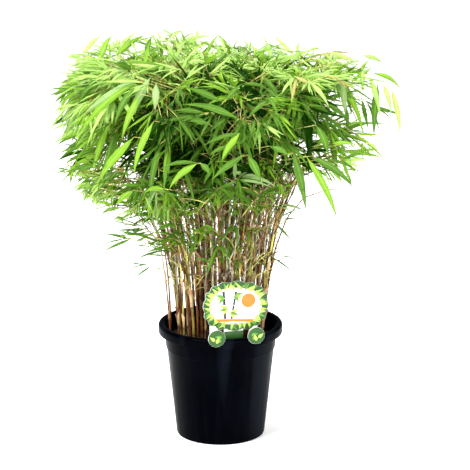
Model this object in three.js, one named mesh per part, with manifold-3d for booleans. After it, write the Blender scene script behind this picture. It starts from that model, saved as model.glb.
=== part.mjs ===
// A small clump of bamboo in a round black nursery pot, with a plain plant label hooked over the rim.
// Millimetres, +Z up, the origin at the middle of the pot's underside. The front is -Y.
import * as THREE from 'three';
import { mergeVertices } from 'three/addons/utils/BufferGeometryUtils.js';
import Module from 'manifold-3d';

const wasm = await Module();
wasm.setup();

// The pot: a thin tapered wall, a collar under a flanged lip that is open below, a notched foot ring.
const POT = {
  height: 84,
  rimRadius: 45.3,
  footRadius: 32.3,
  wallTopRadius: 41.2, // of the tapered wall, carried up to the rim
  wall: 1.3,
  floorTop: 4,
  lipDepth: 7,
  lipTopWidth: 3.9,
  lipSkin: 1.3,
  lipRound: 1.9, // how far the lip's outer edge is rounded off
  flange: 2.6, // thickness of the lip's top
  edge: 0.6, // bevel of the small edges
  collarBottom: 65.5,
  collarProud: 0.7,
  footRing: 5,
  footRecess: 2.2,
  bossRadius: 8,
  notchCount: 8,
  notchWidth: 9,
  notchHeight: 1.8,
  drainCount: 6,
  drainRadius: 3,
  drainCircle: 17,
  drainSides: 10,
  sides: 36,
};
const SOIL_TOP = 72;
const SEAT = 0.3; // clear gap between two pieces that touch
const SOIL_GAP = 0.4; // between the compost and the inside of the pot's many-sided wall
const STEM_GAP = 0.4; // along a cane, between its bare part and the stem that carries it on
const ROUND = 2 * Math.PI;

// The canes stand in five tiers. Each gives its count, how far round it starts, the shares of the
// cane's line where its foliage starts (mouth) and is centred (middle), its leaves at most, and the line
// as [distance from the pot's axis, height] at the foot, at two pulls of the curve and at the tip.
const TIERS = [
  {
    name: 'skirt', count: 10, start: 0.035, mouth: 0.5, middle: 0.88, leaves: 22,
    line: [[31, 0], [36, 140], [48, 214], [98, 203]],
  },
  {
    name: 'shoulder', count: 9, start: 0, mouth: 0.54, middle: 0.9, leaves: 22,
    line: [[24, 0], [28, 165], [44, 244], [86, 268]],
  },
  {
    name: 'crest', count: 5, start: 0.09, mouth: 0.62, middle: 1, leaves: 22,
    line: [[14, 0], [16, 150], [20, 225], [38, 270]],
  },
  {
    name: 'heart', count: 3, start: 0.17, mouth: 0.56, middle: 0.92, leaves: 14,
    line: [[6.5, 0], [8, 130], [13, 178], [40, 214]],
  },
  {
    name: 'spire', count: 1, start: 0.3, mouth: 0.66, middle: 0.97, leaves: 16,
    line: [[1, 0], [2, 150], [3, 230], [6, 266]],
  },
];
const CLUMP = {
  footShift: 4, // the feet stand this far back of the pot's middle
  footJitter: 1.4,
  turnJitter: 0.12, // of the step between two canes of a tier
  stoutLeast: 0.85,
  stoutRange: 0.3,
  reachJitter: 0.06,
  riseJitter: 6,
  depthShare: 0.92, // the clump is this much less deep than wide
  leftSag: 0.1, // how much lower the left tips hang, of their distance to the side
  footHalf: 1.45, // half the thickness of a cane at its foot
  mouthHalf: 0.85, // and where it enters its foliage
  tipHalf: 0.6,
  joints: 2,
  jointShift: 0.62, // of the length between two joints, where the first one lies
  jointJitter: 0.2,
  jointSwell: 1.22,
  jointNeck: 0.96, // the cane is thinner than its taper just above a joint
  jointHalfHeight: 0.7,
  sides: 5,
};

// Every second cane of the two outer tiers carries a thin bare shoot on the same foot.
const SHOOT = {
  tiers: 2,
  every: 2,
  offset: 1.2,
  half: 0.85,
  tipHalf: 0.4,
  height: 92,
  heightLeast: 0.8,
  heightRange: 0.4,
  lean: 8,
  leanPower: 1.6,
  outward: 0.16,
  stations: [0, 0.35, 0.7, 1],
  sides: 4,
};

// The crown: the space that all the foliage stays in. It is flat on top, slopes in below,
// and hangs lower on the left and at the back.
const CROWN = {
  halfWidth: 131,
  halfDepth: 122,
  middle: 222,
  rise: 69,
  hang: 72,
  hangAcross: -0.16,
  hangBack: 0.2,
  topSquareness: 4,
  underSquareness: 1.7,
  ripple: 0.04,
  rippleTurns: [3, 7],
  rippleShare: 0.6, // of the second ripple
  ripplePitch: 22,
};
const FOLIAGE = {
  gap: 0.3, // from a leaf to the edge of its mass's own space
  twigGap: 1,
  stemLengths: 4,
  nodes: 5,
  firstNode: 0.2, // shares of the stem inside the mass
  lastNode: 0.93,
  twigLength: 36,
  twigLengths: [1.25, 1, 0.75, 0.5, 0.3],
  twigSpread: 0.95,
  twigSpreadJitter: 0.2,
  twigHalf: 0.48,
  twigTipHalf: 0.43,
  twigDroop: 0.12,
  leavesOnTwig: 4,
  tipLeans: [0, 0.5, -0.5], // the leaves at the stem's tip
  tipSink: 1.2,
  leafLength: 45,
  leafSizes: [1.12, 1, 0.88, 0.76, 0.66, 0.56],
  // how far a leaf may turn to the side and up to find free space, tried in this order
  leafTurns: [[0, 0], [0.4, 0.2], [-0.4, -0.2], [0, 0.6], [0, -0.6], [0.9, -0.3], [-0.9, 0.3]],
  leafWidth: 10,
  leafThick: 1,
  leafWidest: 0.36,
  leafKeel: 0.2,
  leafSink: 0.3,
  leafHang: 0.14,
  leafDroop: 0.24,
  leafLean: 0.62,
  leafLeanJitter: 0.15,
  leafLiftJitter: 0.25,
  leafRollLeast: 0.45,
  leafRollRange: 0.75,
  crossing: 0.02, // cubic mm that two leaves of a mass may share, at their roots
  goldenTurn: 2.39996,
};

// The label: a plaque behind the rim, a tongue down to the soil, and two round hooks over the lip.
const LABEL = {
  turn: 0.26, // radians round from the front, to the right
  plane: 36.6, // distance of its back from the pot's axis
  thick: 0.8,
  halfWidth: 24,
  halfHeight: 18.4,
  middle: 106.6,
  sideShift: 1.6,
  roll: -0.07,
  cornerPower: 0.8, // 1 is an oval, less is squarer
  lobes: 16,
  lobeDepth: 1.3,
  outlineSteps: 48,
  tongueHalf: 7,
  hookOffset: 14.5,
  hookRadius: 6.2,
  hookMiddle: 86,
  hookPlane: 44.95,
  armHalf: 3,
  armThick: 1,
  stayOverlap: 5, // how far up the plaque's back the stays reach
};

// A repeatable number from 0 to 1 for a set of whole-number keys.
const KEY_STEPS = [12.9898, 78.233, 37.719, 9.1713];
const STIR = 43758.5453;
function chance(...keys) {
  const mixed = keys.reduce((sum, key, n) => sum + (key + 1) * KEY_STEPS[n], 0);
  const stirred = Math.sin(mixed) * STIR;
  return stirred - Math.floor(stirred);
}
const swing = (...keys) => 2 * chance(...keys) - 1;

function paint(color, roughness, metalness = 0) {
  return new THREE.MeshStandardMaterial({ color, roughness, metalness });
}
const PLASTIC = paint(0x16181c, 0.45);
const PEAT = paint(0x2a1d15, 0.95);
const CARD = paint(0xe9efe2, 0.5);
const CANES = [0x8f8a3e, 0x7a5a32, 0x9a8b4a].map((color) => paint(color, 0.55));
const GREENS = [0x5f9e2e, 0x4c8a2a, 0x76b53c].map((color) => paint(color, 0.5));

// A closed geometry as a solid that can be joined and cut, and back.
function solidOf(geometry) {
  const bare = geometry.clone();
  bare.deleteAttribute('normal');
  bare.deleteAttribute('uv');
  const merged = mergeVertices(bare, 1e-4);
  const vertProperties = merged.attributes.position.array;
  const triVerts = new Uint32Array(merged.index.array);
  return new wasm.Manifold(new wasm.Mesh({ numProp: 3, vertProperties, triVerts }));
}

function geometryOf(solid) {
  const { vertProperties, triVerts } = solid.getMesh();
  const geometry = new THREE.BufferGeometry();
  geometry.setAttribute('position', new THREE.BufferAttribute(vertProperties, 3));
  geometry.setIndex(new THREE.BufferAttribute(triVerts, 1));
  return geometry;
}

function faceted(corners, faces) {
  const geometry = new THREE.BufferGeometry();
  const numbers = corners.flatMap((corner) => corner.toArray());
  geometry.setAttribute('position', new THREE.Float32BufferAttribute(numbers, 3));
  geometry.setIndex(faces.flat());
  return geometry;
}

const UP = new THREE.Vector3(0, 0, 1);
const vector = (x, y, z) => new THREE.Vector3(x, y, z);
const along = (from, direction, distance) => from.clone().addScaledVector(direction, distance);

// Two directions square to a third, the first as level as can be.
function squareTo(direction) {
  const side = new THREE.Vector3().crossVectors(direction, UP);
  if (side.lengthSq() < 1e-6) side.set(1, 0, 0);
  side.normalize();
  return [side, new THREE.Vector3().crossVectors(side, direction).normalize()];
}

// A tapering limb through a list of points, with a flat cut at both ends.
// levelFoot keeps the first ring level, where the limb stands on something.
function limb(points, halves, sides, levelFoot = false) {
  const corners = [];
  points.forEach((point, n) => {
    const before = points[Math.max(n - 1, 0)];
    const after = points[Math.min(n + 1, points.length - 1)];
    const level = levelFoot && n === 0;
    const run = level ? UP.clone() : after.clone().sub(before).normalize();
    const across = vector(1, 0, 0).addScaledVector(run, -run.x).normalize();
    const depth = new THREE.Vector3().crossVectors(run, across);
    for (let k = 0; k < sides; k++) {
      const angle = (k / sides) * ROUND;
      const corner = along(point, across, halves[n] * Math.cos(angle));
      corners.push(corner.addScaledVector(depth, halves[n] * Math.sin(angle)));
    }
  });
  const faces = [];
  for (let n = 0; n + 1 < points.length; n++) {
    for (let k = 0; k < sides; k++) {
      const [a, b] = [n * sides + k, n * sides + ((k + 1) % sides)];
      faces.push([a, b, b + sides], [a, b + sides, a + sides]);
    }
  }
  const last = (points.length - 1) * sides;
  for (let k = 1; k + 1 < sides; k++) faces.push([0, k + 1, k], [last, last + k, last + k + 1]);
  return faceted(corners, faces);
}

// The radius of the pot's outside at a height.
function wallRadius(height) {
  return THREE.MathUtils.mapLinear(height, 0, POT.height, POT.footRadius, POT.wallTopRadius);
}

// A solid turned about the pot's axis from its profile, a list of [radius, height].
function turned(profile) {
  const points = profile.map(([radius, z]) => new THREE.Vector2(radius, z));
  return solidOf(new THREE.LatheGeometry(points, POT.sides).rotateX(Math.PI / 2));
}

function makePot() {
  const { height, rimRadius, footRadius, footRing, footRecess, floorTop, wall } = POT;
  const { lipSkin, lipDepth, lipRound, edge, collarBottom, collarProud } = POT;
  const skirtBottom = height - lipDepth;
  const flangeUnder = height - POT.flange;
  const lipInner = rimRadius - POT.lipTopWidth;
  const profile = [
    [0, 0],
    [POT.bossRadius, 0],
    [POT.bossRadius + edge, footRecess],
    [footRadius - footRing - edge, footRecess],
    [footRadius - footRing, 0],
    [footRadius - 2 * edge, 0],
    [footRadius, 2 * edge],
    [wallRadius(collarBottom), collarBottom],
    [wallRadius(collarBottom) + collarProud, collarBottom + 2 * edge],
    [wallRadius(flangeUnder) + wall / 4, flangeUnder],
    [rimRadius - lipSkin, flangeUnder + edge],
    [rimRadius - lipSkin, skirtBottom],
    [rimRadius - edge / 2, skirtBottom],
    [rimRadius, skirtBottom + edge],
    [rimRadius, height - lipRound],
    [rimRadius - lipRound / 3, height - lipRound / 3],
    [rimRadius - lipRound, height],
    [lipInner + edge, height],
    [lipInner, height - edge],
    [wallRadius(skirtBottom) - wall, skirtBottom],
    [wallRadius(floorTop) - wall, floorTop + 2 * edge],
    [wallRadius(floorTop) - wall - 2 * edge, floorTop],
    [0, floorTop],
  ];
  let pot = turned(profile);
  for (let n = 0; n < POT.notchCount; n++) {
    const notch = new THREE.BoxGeometry(4 * POT.footRing, POT.notchWidth, 2 * POT.notchHeight);
    notch.translate(POT.footRadius, 0, 0).rotateZ(((n + 0.5) / POT.notchCount) * ROUND);
    pot = pot.subtract(solidOf(notch));
  }
  for (let n = 0; n < POT.drainCount; n++) {
    const drain = new THREE.CylinderGeometry(POT.drainRadius, POT.drainRadius, 3 * floorTop, POT.drainSides);
    drain.rotateX(Math.PI / 2).translate(POT.drainCircle, 0, 0).rotateZ((n / POT.drainCount) * ROUND);
    pot = pot.subtract(solidOf(drain));
  }
  return pot;
}

function makeSoil() {
  const bottom = POT.floorTop + SEAT;
  const bevel = 3 * POT.edge;
  const inside = (z) => wallRadius(z) - POT.wall - SOIL_GAP;
  return turned([
    [0, bottom],
    [inside(bottom) - bevel, bottom],
    [inside(bottom), bottom + bevel],
    [inside(SOIL_TOP), SOIL_TOP],
    [0, SOIL_TOP],
  ]);
}

// A flat shape in (across, up), as a plate whose back lies at a distance from the pot's axis.
function plate(shape, distance, thick) {
  const geometry = new THREE.ExtrudeGeometry(shape, { depth: thick, bevelEnabled: false });
  return geometry.rotateX(Math.PI / 2).translate(0, -distance, 0);
}

function makeLabel() {
  const plaque = new THREE.Shape();
  for (let n = 0; n < LABEL.outlineSteps; n++) {
    const angle = (n / LABEL.outlineSteps) * ROUND;
    const lobe = LABEL.lobeDepth * Math.abs(Math.cos((angle * LABEL.lobes) / 2));
    const round = (value) => Math.sign(value) * Math.abs(value) ** LABEL.cornerPower;
    const across = (LABEL.halfWidth - LABEL.lobeDepth + lobe) * round(Math.cos(angle));
    const up = (LABEL.halfHeight - LABEL.lobeDepth + lobe) * round(Math.sin(angle));
    const turned = new THREE.Vector2(across, up).rotateAround(new THREE.Vector2(), LABEL.roll);
    if (n === 0) plaque.moveTo(turned.x + LABEL.sideShift, turned.y + LABEL.middle);
    else plaque.lineTo(turned.x + LABEL.sideShift, turned.y + LABEL.middle);
  }
  let label = solidOf(plate(plaque, LABEL.plane, LABEL.thick));

  const tongueBottom = SOIL_TOP + SEAT;
  const tongueHeight = LABEL.middle - tongueBottom;
  const tongue = new THREE.BoxGeometry(2 * LABEL.tongueHalf, LABEL.thick, tongueHeight);
  tongue.translate(0, -LABEL.plane - LABEL.thick / 2, tongueBottom + tongueHeight / 2);
  label = label.add(solidOf(tongue));

  for (const side of [-1, 1]) {
    const hook = new THREE.Shape();
    hook.absarc(side * LABEL.hookOffset, LABEL.hookMiddle, LABEL.hookRadius, 0, ROUND);
    label = label.add(solidOf(plate(hook, LABEL.hookPlane, LABEL.thick)));
    const reach = LABEL.hookPlane + LABEL.thick - LABEL.plane;
    const arm = new THREE.BoxGeometry(2 * LABEL.armHalf, reach, LABEL.armThick);
    const armMiddle = POT.height + SEAT + LABEL.armThick / 2;
    arm.translate(side * LABEL.hookOffset, -LABEL.plane - reach / 2, armMiddle);
    label = label.add(solidOf(arm));
    // a short stay joins each arm to the plaque above it
    const stayBottom = POT.height + SEAT;
    const stayHeight = LABEL.middle - LABEL.halfHeight + LABEL.stayOverlap - stayBottom;
    const stay = new THREE.BoxGeometry(2 * LABEL.armHalf, LABEL.thick, stayHeight);
    stay.translate(side * LABEL.hookOffset, -LABEL.plane - LABEL.thick / 2, stayBottom + stayHeight / 2);
    label = label.add(solidOf(stay));
  }
  return solidOf(geometryOf(label).rotateZ(LABEL.turn));
}

// The canes: where each stands, and its line as a cubic curve.
function layOutCanes() {
  const canes = [];
  TIERS.forEach((tier, t) => {
    for (let n = 0; n < tier.count; n++) {
      const turn = (n + CLUMP.turnJitter * swing(t, n, 1)) / tier.count + tier.start;
      const reach = 1 + CLUMP.reachJitter * swing(t, n, 2);
      const rise = CLUMP.riseJitter * swing(t, n, 3);
      const [x, y] = [Math.cos(turn * ROUND), CLUMP.depthShare * Math.sin(turn * ROUND)];
      const sag = tier.name === 'skirt' ? CLUMP.leftSag * x : 0;
      const pulls = tier.line.map(([distance, height], k) => {
        const out = k < 2 ? distance : distance * reach;
        const back = CLUMP.footShift * (1 - k / 3);
        const lift = k < 2 ? 0 : rise + sag * distance;
        return vector(out * x, out * y + back, height + lift);
      });
      pulls[0].x += CLUMP.footJitter * swing(t, n, 4);
      pulls[0].y += CLUMP.footJitter * swing(t, n, 5);
      pulls[0].z = SOIL_TOP + SEAT;
      const stout = CLUMP.stoutLeast + CLUMP.stoutRange * chance(t, n, 6);
      const curve = new THREE.CubicBezierCurve3(...pulls);
      canes.push({ tier, tierNumber: t, number: n, curve, stout });
    }
  });
  return canes;
}

// Half the cane's thickness at a share of its line.
function caneHalf(cane, share) {
  const { footHalf, mouthHalf, tipHalf } = CLUMP;
  const { mouth } = cane.tier;
  const half = share < mouth
    ? THREE.MathUtils.lerp(footHalf, mouthHalf, share / mouth)
    : THREE.MathUtils.lerp(mouthHalf, tipHalf, (share - mouth) / (1 - mouth));
  return half * cane.stout;
}

// The bare cane from the soil to where it enters its foliage, with a swollen ring at each joint.
// extra thickens it all round, for the space that foliage has to leave free.
function makeCane(cane, extra = 0) {
  const { mouth } = cane.tier;
  const { curve, tierNumber, number } = cane;
  const reach = CLUMP.jointHalfHeight / curve.getLength();
  const stations = [[0, 1]];
  for (let n = 0; n < CLUMP.joints; n++) {
    const place = n + CLUMP.jointShift + CLUMP.jointJitter * swing(tierNumber, number, 7);
    const middle = (place / CLUMP.joints) * mouth;
    if (n > 0) stations.push([middle - mouth / (2 * CLUMP.joints), 1]);
    stations.push([middle - reach, 1], [middle, CLUMP.jointSwell], [middle + reach, CLUMP.jointNeck]);
  }
  stations.push([mouth, 1]);
  const points = stations.map(([share]) => curve.getPoint(share));
  const halves = stations.map(([share, swell]) => caneHalf(cane, share) * swell + extra);
  const solid = solidOf(limb(points, halves, CLUMP.sides, true));
  const shoots = tierNumber < SHOOT.tiers && number % SHOOT.every === 1;
  return shoots ? solid.add(makeShoot(cane, extra)) : solid;
}

// The thin shoot leans away from its cane along the pot's rim.
function makeShoot(cane, extra) {
  const { curve, tierNumber, number } = cane;
  const foot = curve.getPoint(0);
  const aside = vector(-foot.y, foot.x, 0).normalize();
  const height = SHOOT.height * (SHOOT.heightLeast + SHOOT.heightRange * chance(tierNumber, number, 9));
  const points = SHOOT.stations.map((share) => {
    const lean = SHOOT.offset + SHOOT.lean * share ** SHOOT.leanPower;
    const point = along(foot, aside, lean);
    const outward = 1 + SHOOT.outward * share * share;
    return vector(point.x * outward, point.y * outward, foot.z + height * share);
  });
  const half = (share) => THREE.MathUtils.lerp(SHOOT.half, SHOOT.tipHalf, share) + extra;
  return solidOf(limb(points, SHOOT.stations.map(half), SHOOT.sides, true));
}

// The stem: the cane carried on through its foliage in a few straight lengths, clear of the bare cane.
function stemPoints(cane) {
  const start = cane.tier.mouth + STEM_GAP / cane.curve.getLength();
  const stations = [];
  for (let n = 0; n <= FOLIAGE.stemLengths; n++) {
    const share = THREE.MathUtils.lerp(start, 1, n / FOLIAGE.stemLengths);
    stations.push({ point: cane.curve.getPoint(share), half: caneHalf(cane, share) });
  }
  return stations;
}

function makeStem(cane, extra = 0) {
  const stations = stemPoints(cane);
  const halves = stations.map(({ half }) => half + extra);
  return solidOf(limb(stations.map(({ point }) => point), halves, 3));
}

// A place on the stem, as a share of it, with the direction it runs in there.
function stemPlace(cane, step) {
  const stations = stemPoints(cane);
  const n = Math.min(Math.floor(step * FOLIAGE.stemLengths), FOLIAGE.stemLengths - 1);
  const [from, to] = [stations[n].point, stations[n + 1].point];
  const run = to.clone().sub(from);
  return { root: along(from, run, step * FOLIAGE.stemLengths - n), run: run.normalize() };
}

// How far outside the crown's space a point lies: under 1 is inside.
function crownDepth(point) {
  const turn = Math.atan2(point.y, point.x);
  const [few, many] = CROWN.rippleTurns;
  const fine = Math.sin(many * turn + point.z / CROWN.ripplePitch);
  const wave = 1 + CROWN.ripple * (Math.sin(few * turn + 1) + CROWN.rippleShare * fine);
  const out = Math.hypot(point.x / CROWN.halfWidth, point.y / CROWN.halfDepth) / wave;
  const above = point.z - CROWN.middle;
  const hang = CROWN.hang + CROWN.hangAcross * point.x + CROWN.hangBack * point.y;
  const up = above > 0 ? above / CROWN.rise : -above / hang;
  const squareness = above > 0 ? CROWN.topSquareness : CROWN.underSquareness;
  return (out ** squareness + up ** squareness) ** (1 / squareness);
}

// A point is in a mass's own space if it is nearer that mass's middle than any other's, by a gap.
function inSpace(point, own, middles, gap) {
  if (crownDepth(point) > 1) return false;
  const mine = point.distanceToSquared(middles[own]);
  return middles.every((other, n) => {
    if (n === own) return true;
    const between = other.distanceTo(middles[own]);
    return point.distanceToSquared(other) - mine > 2 * gap * between;
  });
}

// A leaf of eight faces: a pointed blade with its root at a point, bent down towards its tip.
function leafCorners(root, direction, roll, size) {
  const run = direction.clone().normalize();
  const [side, face] = squareTo(run);
  side.applyAxisAngle(run, roll);
  face.applyAxisAngle(run, roll);
  const length = FOLIAGE.leafLength * size;
  const half = (FOLIAGE.leafWidth * size) / 2;
  const middle = along(root, run, length * FOLIAGE.leafWidest);
  const keel = along(root, run, length * FOLIAGE.leafKeel);
  const tip = along(root, run, length);
  tip.z -= FOLIAGE.leafDroop * length * Math.hypot(run.x, run.y);
  return [
    along(root, run, -FOLIAGE.leafSink),
    tip,
    along(middle, side, half),
    along(keel, face, FOLIAGE.leafThick / 2),
    along(middle, side, -half),
    along(keel, face, -FOLIAGE.leafThick / 2),
  ];
}

function leafFrom(corners) {
  const faces = [];
  for (let k = 0; k < 4; k++) {
    const [a, b] = [2 + k, 2 + ((k + 1) % 4)];
    faces.push([0, a, b], [1, b, a]);
  }
  return faceted(corners, faces);
}

// The twigs of a mass: each leaves the stem at a node, turns a golden angle on from the last, and sags.
function twigRule(cane, node) {
  const { tierNumber, number } = cane;
  const step = THREE.MathUtils.lerp(FOLIAGE.firstNode, FOLIAGE.lastNode, node / (FOLIAGE.nodes - 1));
  const { root, run } = stemPlace(cane, step);
  const [side, face] = squareTo(run);
  const turn = node * FOLIAGE.goldenTurn + ROUND * chance(tierNumber, number, 8);
  const sideways = side.multiplyScalar(Math.cos(turn)).addScaledVector(face, Math.sin(turn));
  const spread = FOLIAGE.twigSpread + FOLIAGE.twigSpreadJitter * swing(tierNumber, number, node, 1);
  const direction = run.multiplyScalar(Math.cos(spread));
  direction.addScaledVector(sideways, Math.sin(spread));
  direction.z -= FOLIAGE.twigDroop;
  return { root, direction: direction.normalize() };
}

// The leaves of a twig, as shares of its length with a lean to the side: three fan out at its end.
const FAN = [[0.97, 0], [0.9, 1], [0.8, -1], [0.6, 1.2], [0.4, -1.2]];
function leafRule(cane, node, twig, place) {
  const { tierNumber, number } = cane;
  const [share, hand] = FAN[place];
  const root = along(twig.root, twig.direction, share * twig.length);
  const [side, face] = squareTo(twig.direction);
  const mirror = node % 2 ? 1 : -1;
  const lean = FOLIAGE.leafLean * hand * mirror + FOLIAGE.leafLeanJitter * swing(tierNumber, number, node, 3);
  const direction = twig.direction.clone().multiplyScalar(Math.cos(lean));
  direction.addScaledVector(side, Math.sin(lean));
  direction.addScaledVector(face, FOLIAGE.leafLiftJitter * swing(tierNumber + place, number, node, 4));
  direction.z -= FOLIAGE.leafHang;
  const tilt = swing(tierNumber, number + place, node, 5);
  const roll = Math.sign(tilt) * FOLIAGE.leafRollLeast + FOLIAGE.leafRollRange * tilt;
  return { root, side, direction: direction.normalize(), roll };
}

// One mass of leaves: the stem, its twigs and their leaves, joined in one solid. A twig or leaf that
// would leave the mass's own space, touch a limb or cross another leaf turns, grows shorter or is left out.
function makeMass(cane, own, middles, keepOut) {
  let mass = makeStem(cane);
  let blades = wasm.Manifold.union([]);
  let leaves = 0;
  const clear = (solid) => solid.intersect(keepOut).isEmpty();
  const addLeaf = ({ root, side, direction, roll }) => {
    if (leaves >= cane.tier.leaves) return 0;
    for (const size of FOLIAGE.leafSizes) {
      for (const [turn, lift] of FOLIAGE.leafTurns) {
        const turned = along(along(direction, side, turn), UP, lift).normalize();
        const corners = leafCorners(root, turned, roll, size);
        const inside = corners.slice(1).every((corner) => inSpace(corner, own, middles, FOLIAGE.gap));
        if (!inside) continue;
        const leaf = solidOf(leafFrom(corners));
        if (!clear(leaf) || leaf.intersect(blades).volume() > FOLIAGE.crossing) continue;
        blades = blades.add(leaf);
        mass = mass.add(leaf);
        leaves += 1;
        return 1;
      }
    }
    return 0;
  };
  const { root: tip, run } = stemPlace(cane, 1);
  const [side] = squareTo(run);
  for (const lean of FOLIAGE.tipLeans) {
    const root = along(tip, run, -FOLIAGE.tipSink);
    addLeaf({ root, side, direction: along(run, side, lean), roll: FOLIAGE.leafRollLeast + lean });
  }
  for (let node = FOLIAGE.nodes - 1; node >= 0; node--) {
    const twig = twigRule(cane, node);
    for (const size of FOLIAGE.twigLengths) {
      twig.length = FOLIAGE.twigLength * size;
      const end = along(twig.root, twig.direction, twig.length);
      const solid = solidOf(limb([twig.root, end], [FOLIAGE.twigHalf, FOLIAGE.twigTipHalf], 3));
      if (!inSpace(end, own, middles, FOLIAGE.twigGap) || !clear(solid)) continue;
      mass = mass.add(solid);
      for (let place = 0, onTwig = 0; place < FAN.length && onTwig < FOLIAGE.leavesOnTwig; place++) {
        onTwig += addLeaf(leafRule(cane, node, twig, place));
      }
      break;
    }
  }
  return mass;
}

function named(name, solid, material) {
  const mesh = new THREE.Mesh(geometryOf(solid), material);
  mesh.name = name;
  return mesh;
}

const bamboo = new THREE.Group();
bamboo.add(named('pot', makePot(), PLASTIC));
bamboo.add(named('soil', makeSoil(), PEAT));
bamboo.add(named('label_card', makeLabel(), CARD));

const canes = layOutCanes();
const middles = canes.map((cane) => cane.curve.getPoint(cane.tier.middle));
const CLEAR = SEAT + 0.05;
const bare = canes.map((cane) => makeCane(cane, CLEAR));
const stems = canes.map((cane) => makeStem(cane, CLEAR));
canes.forEach((cane, n) => {
  const tag = `${cane.tier.name}_${String(cane.number + 1).padStart(2, '0')}`;
  const keepOut = wasm.Manifold.union([...bare, ...stems.filter((stem, m) => m !== n)]);
  bamboo.add(named(`cane_${tag}`, makeCane(cane), CANES[n % CANES.length]));
  bamboo.add(named(`leaves_${tag}`, makeMass(cane, n, middles, keepOut), GREENS[n % GREENS.length]));
});

export default bamboo;
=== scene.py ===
"""A small clump of bamboo in a black nursery pot, with a plain plant label, in a plain studio.

Metres, +Z up, the origin at the middle of the pot's underside, the front towards -Y. The canes,
twigs and leaves grow by the same seeded rule as the solids that they stand for, carried to finer
twigs and more leaves within the same crown.
"""

import logging
import math
from collections.abc import Callable, Iterable, Iterator, Sequence
from dataclasses import dataclass, field
from enum import Enum
from functools import partial

import bmesh
import bpy
import numpy as np
from mathutils import Matrix, Vector, noise

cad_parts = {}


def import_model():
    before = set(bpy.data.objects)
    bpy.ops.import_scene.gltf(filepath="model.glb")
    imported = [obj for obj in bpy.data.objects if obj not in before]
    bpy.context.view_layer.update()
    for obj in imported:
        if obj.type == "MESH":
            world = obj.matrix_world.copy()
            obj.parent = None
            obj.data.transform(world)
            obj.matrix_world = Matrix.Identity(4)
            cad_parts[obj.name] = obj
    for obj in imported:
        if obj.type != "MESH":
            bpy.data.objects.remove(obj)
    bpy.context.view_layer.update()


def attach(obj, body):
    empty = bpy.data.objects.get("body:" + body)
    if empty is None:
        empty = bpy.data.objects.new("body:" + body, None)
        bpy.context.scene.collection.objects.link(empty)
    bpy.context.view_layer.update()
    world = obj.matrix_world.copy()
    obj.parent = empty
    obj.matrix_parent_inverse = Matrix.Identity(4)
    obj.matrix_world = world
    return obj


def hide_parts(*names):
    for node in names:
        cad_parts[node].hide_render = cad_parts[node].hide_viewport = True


log = logging.getLogger("potted_bamboo")

MM = 0.001
ROUND = 2 * math.pi
GOLDEN_TURN = 2.39996
Flat = tuple[float, float]
Colour = tuple[float, float, float]
Keys = tuple[int, int]
Array = np.ndarray
Placer = Callable[[float, float, float], Vector]
Shape = tuple[list[Flat], Placer, float]
Thing = bpy.types.Object
Material = bpy.types.Material
Socket = bpy.types.NodeSocket


class Tint(Enum):
    """The colours that leaves are dealt out in, by spray: the lime, fresh, mid and deep greens are partly
    the leaves' own greens and partly painted light and shade, lighter on the crown's outside and top and
    darker within it; the pale and straw ones are the leaves' own colours.
    """

    LIME = "lime"
    FRESH = "fresh"
    MID = "mid"
    DEEP = "deep"
    PALE = "pale"
    STRAW = "straw"


class CaneTone(Enum):
    """The three colours of cane, dealt round the clump as the solids deal them."""

    OLIVE = "olive"
    BROWN = "brown"
    STRAW = "straw"


KEY_STEPS = (12.9898, 78.233, 37.719, 9.1713)
STIR = 43758.5453


def chance(*keys: float) -> float:
    """Give a repeatable number from 0 to 1 for up to four whole-number keys."""
    stirred = math.sin(sum((key + 1) * step for key, step in zip(keys, KEY_STEPS))) * STIR
    return stirred - math.floor(stirred)


def swing(*keys: float) -> float:
    """Give a repeatable number from -1 to 1 for a set of keys."""
    return 2 * chance(*keys) - 1


def lerp(start: float, end: float, share: float) -> float:
    """Give the value at a share of the way from start to end."""
    return start + (end - start) * share


def unit(vector: Vector) -> Vector:
    """Give the vector at length one."""
    return vector.normalized()


def square_to(direction: Vector) -> tuple[Vector, Vector]:
    """Give two directions square to a third, the first as level as can be.

    Args:
        direction: A direction of any length.

    Returns:
        The level direction, and the one square to both.
    """
    side = direction.cross(Vector((0, 0, 1)))
    if side.length < 1e-3:
        side = Vector((1, 0, 0))
    side.normalize()
    return side, side.cross(direction).normalized()


def leaning(start: Vector, aside: Vector, angle: float) -> Vector:
    """Give the direction at an angle from one direction towards another that is square to it."""
    return start * math.cos(angle) + aside * math.sin(angle)


def rows_of(vectors: Iterable[Vector]) -> Array:
    """Give vectors as the rows of an array."""
    return np.array([tuple(vector) for vector in vectors])


def circle(radius: float, steps: int) -> list[Flat]:
    """List points round a circle about the origin."""
    turns = np.arange(steps) / steps * ROUND
    return [(radius * math.cos(turn), radius * math.sin(turn)) for turn in turns]


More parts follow.
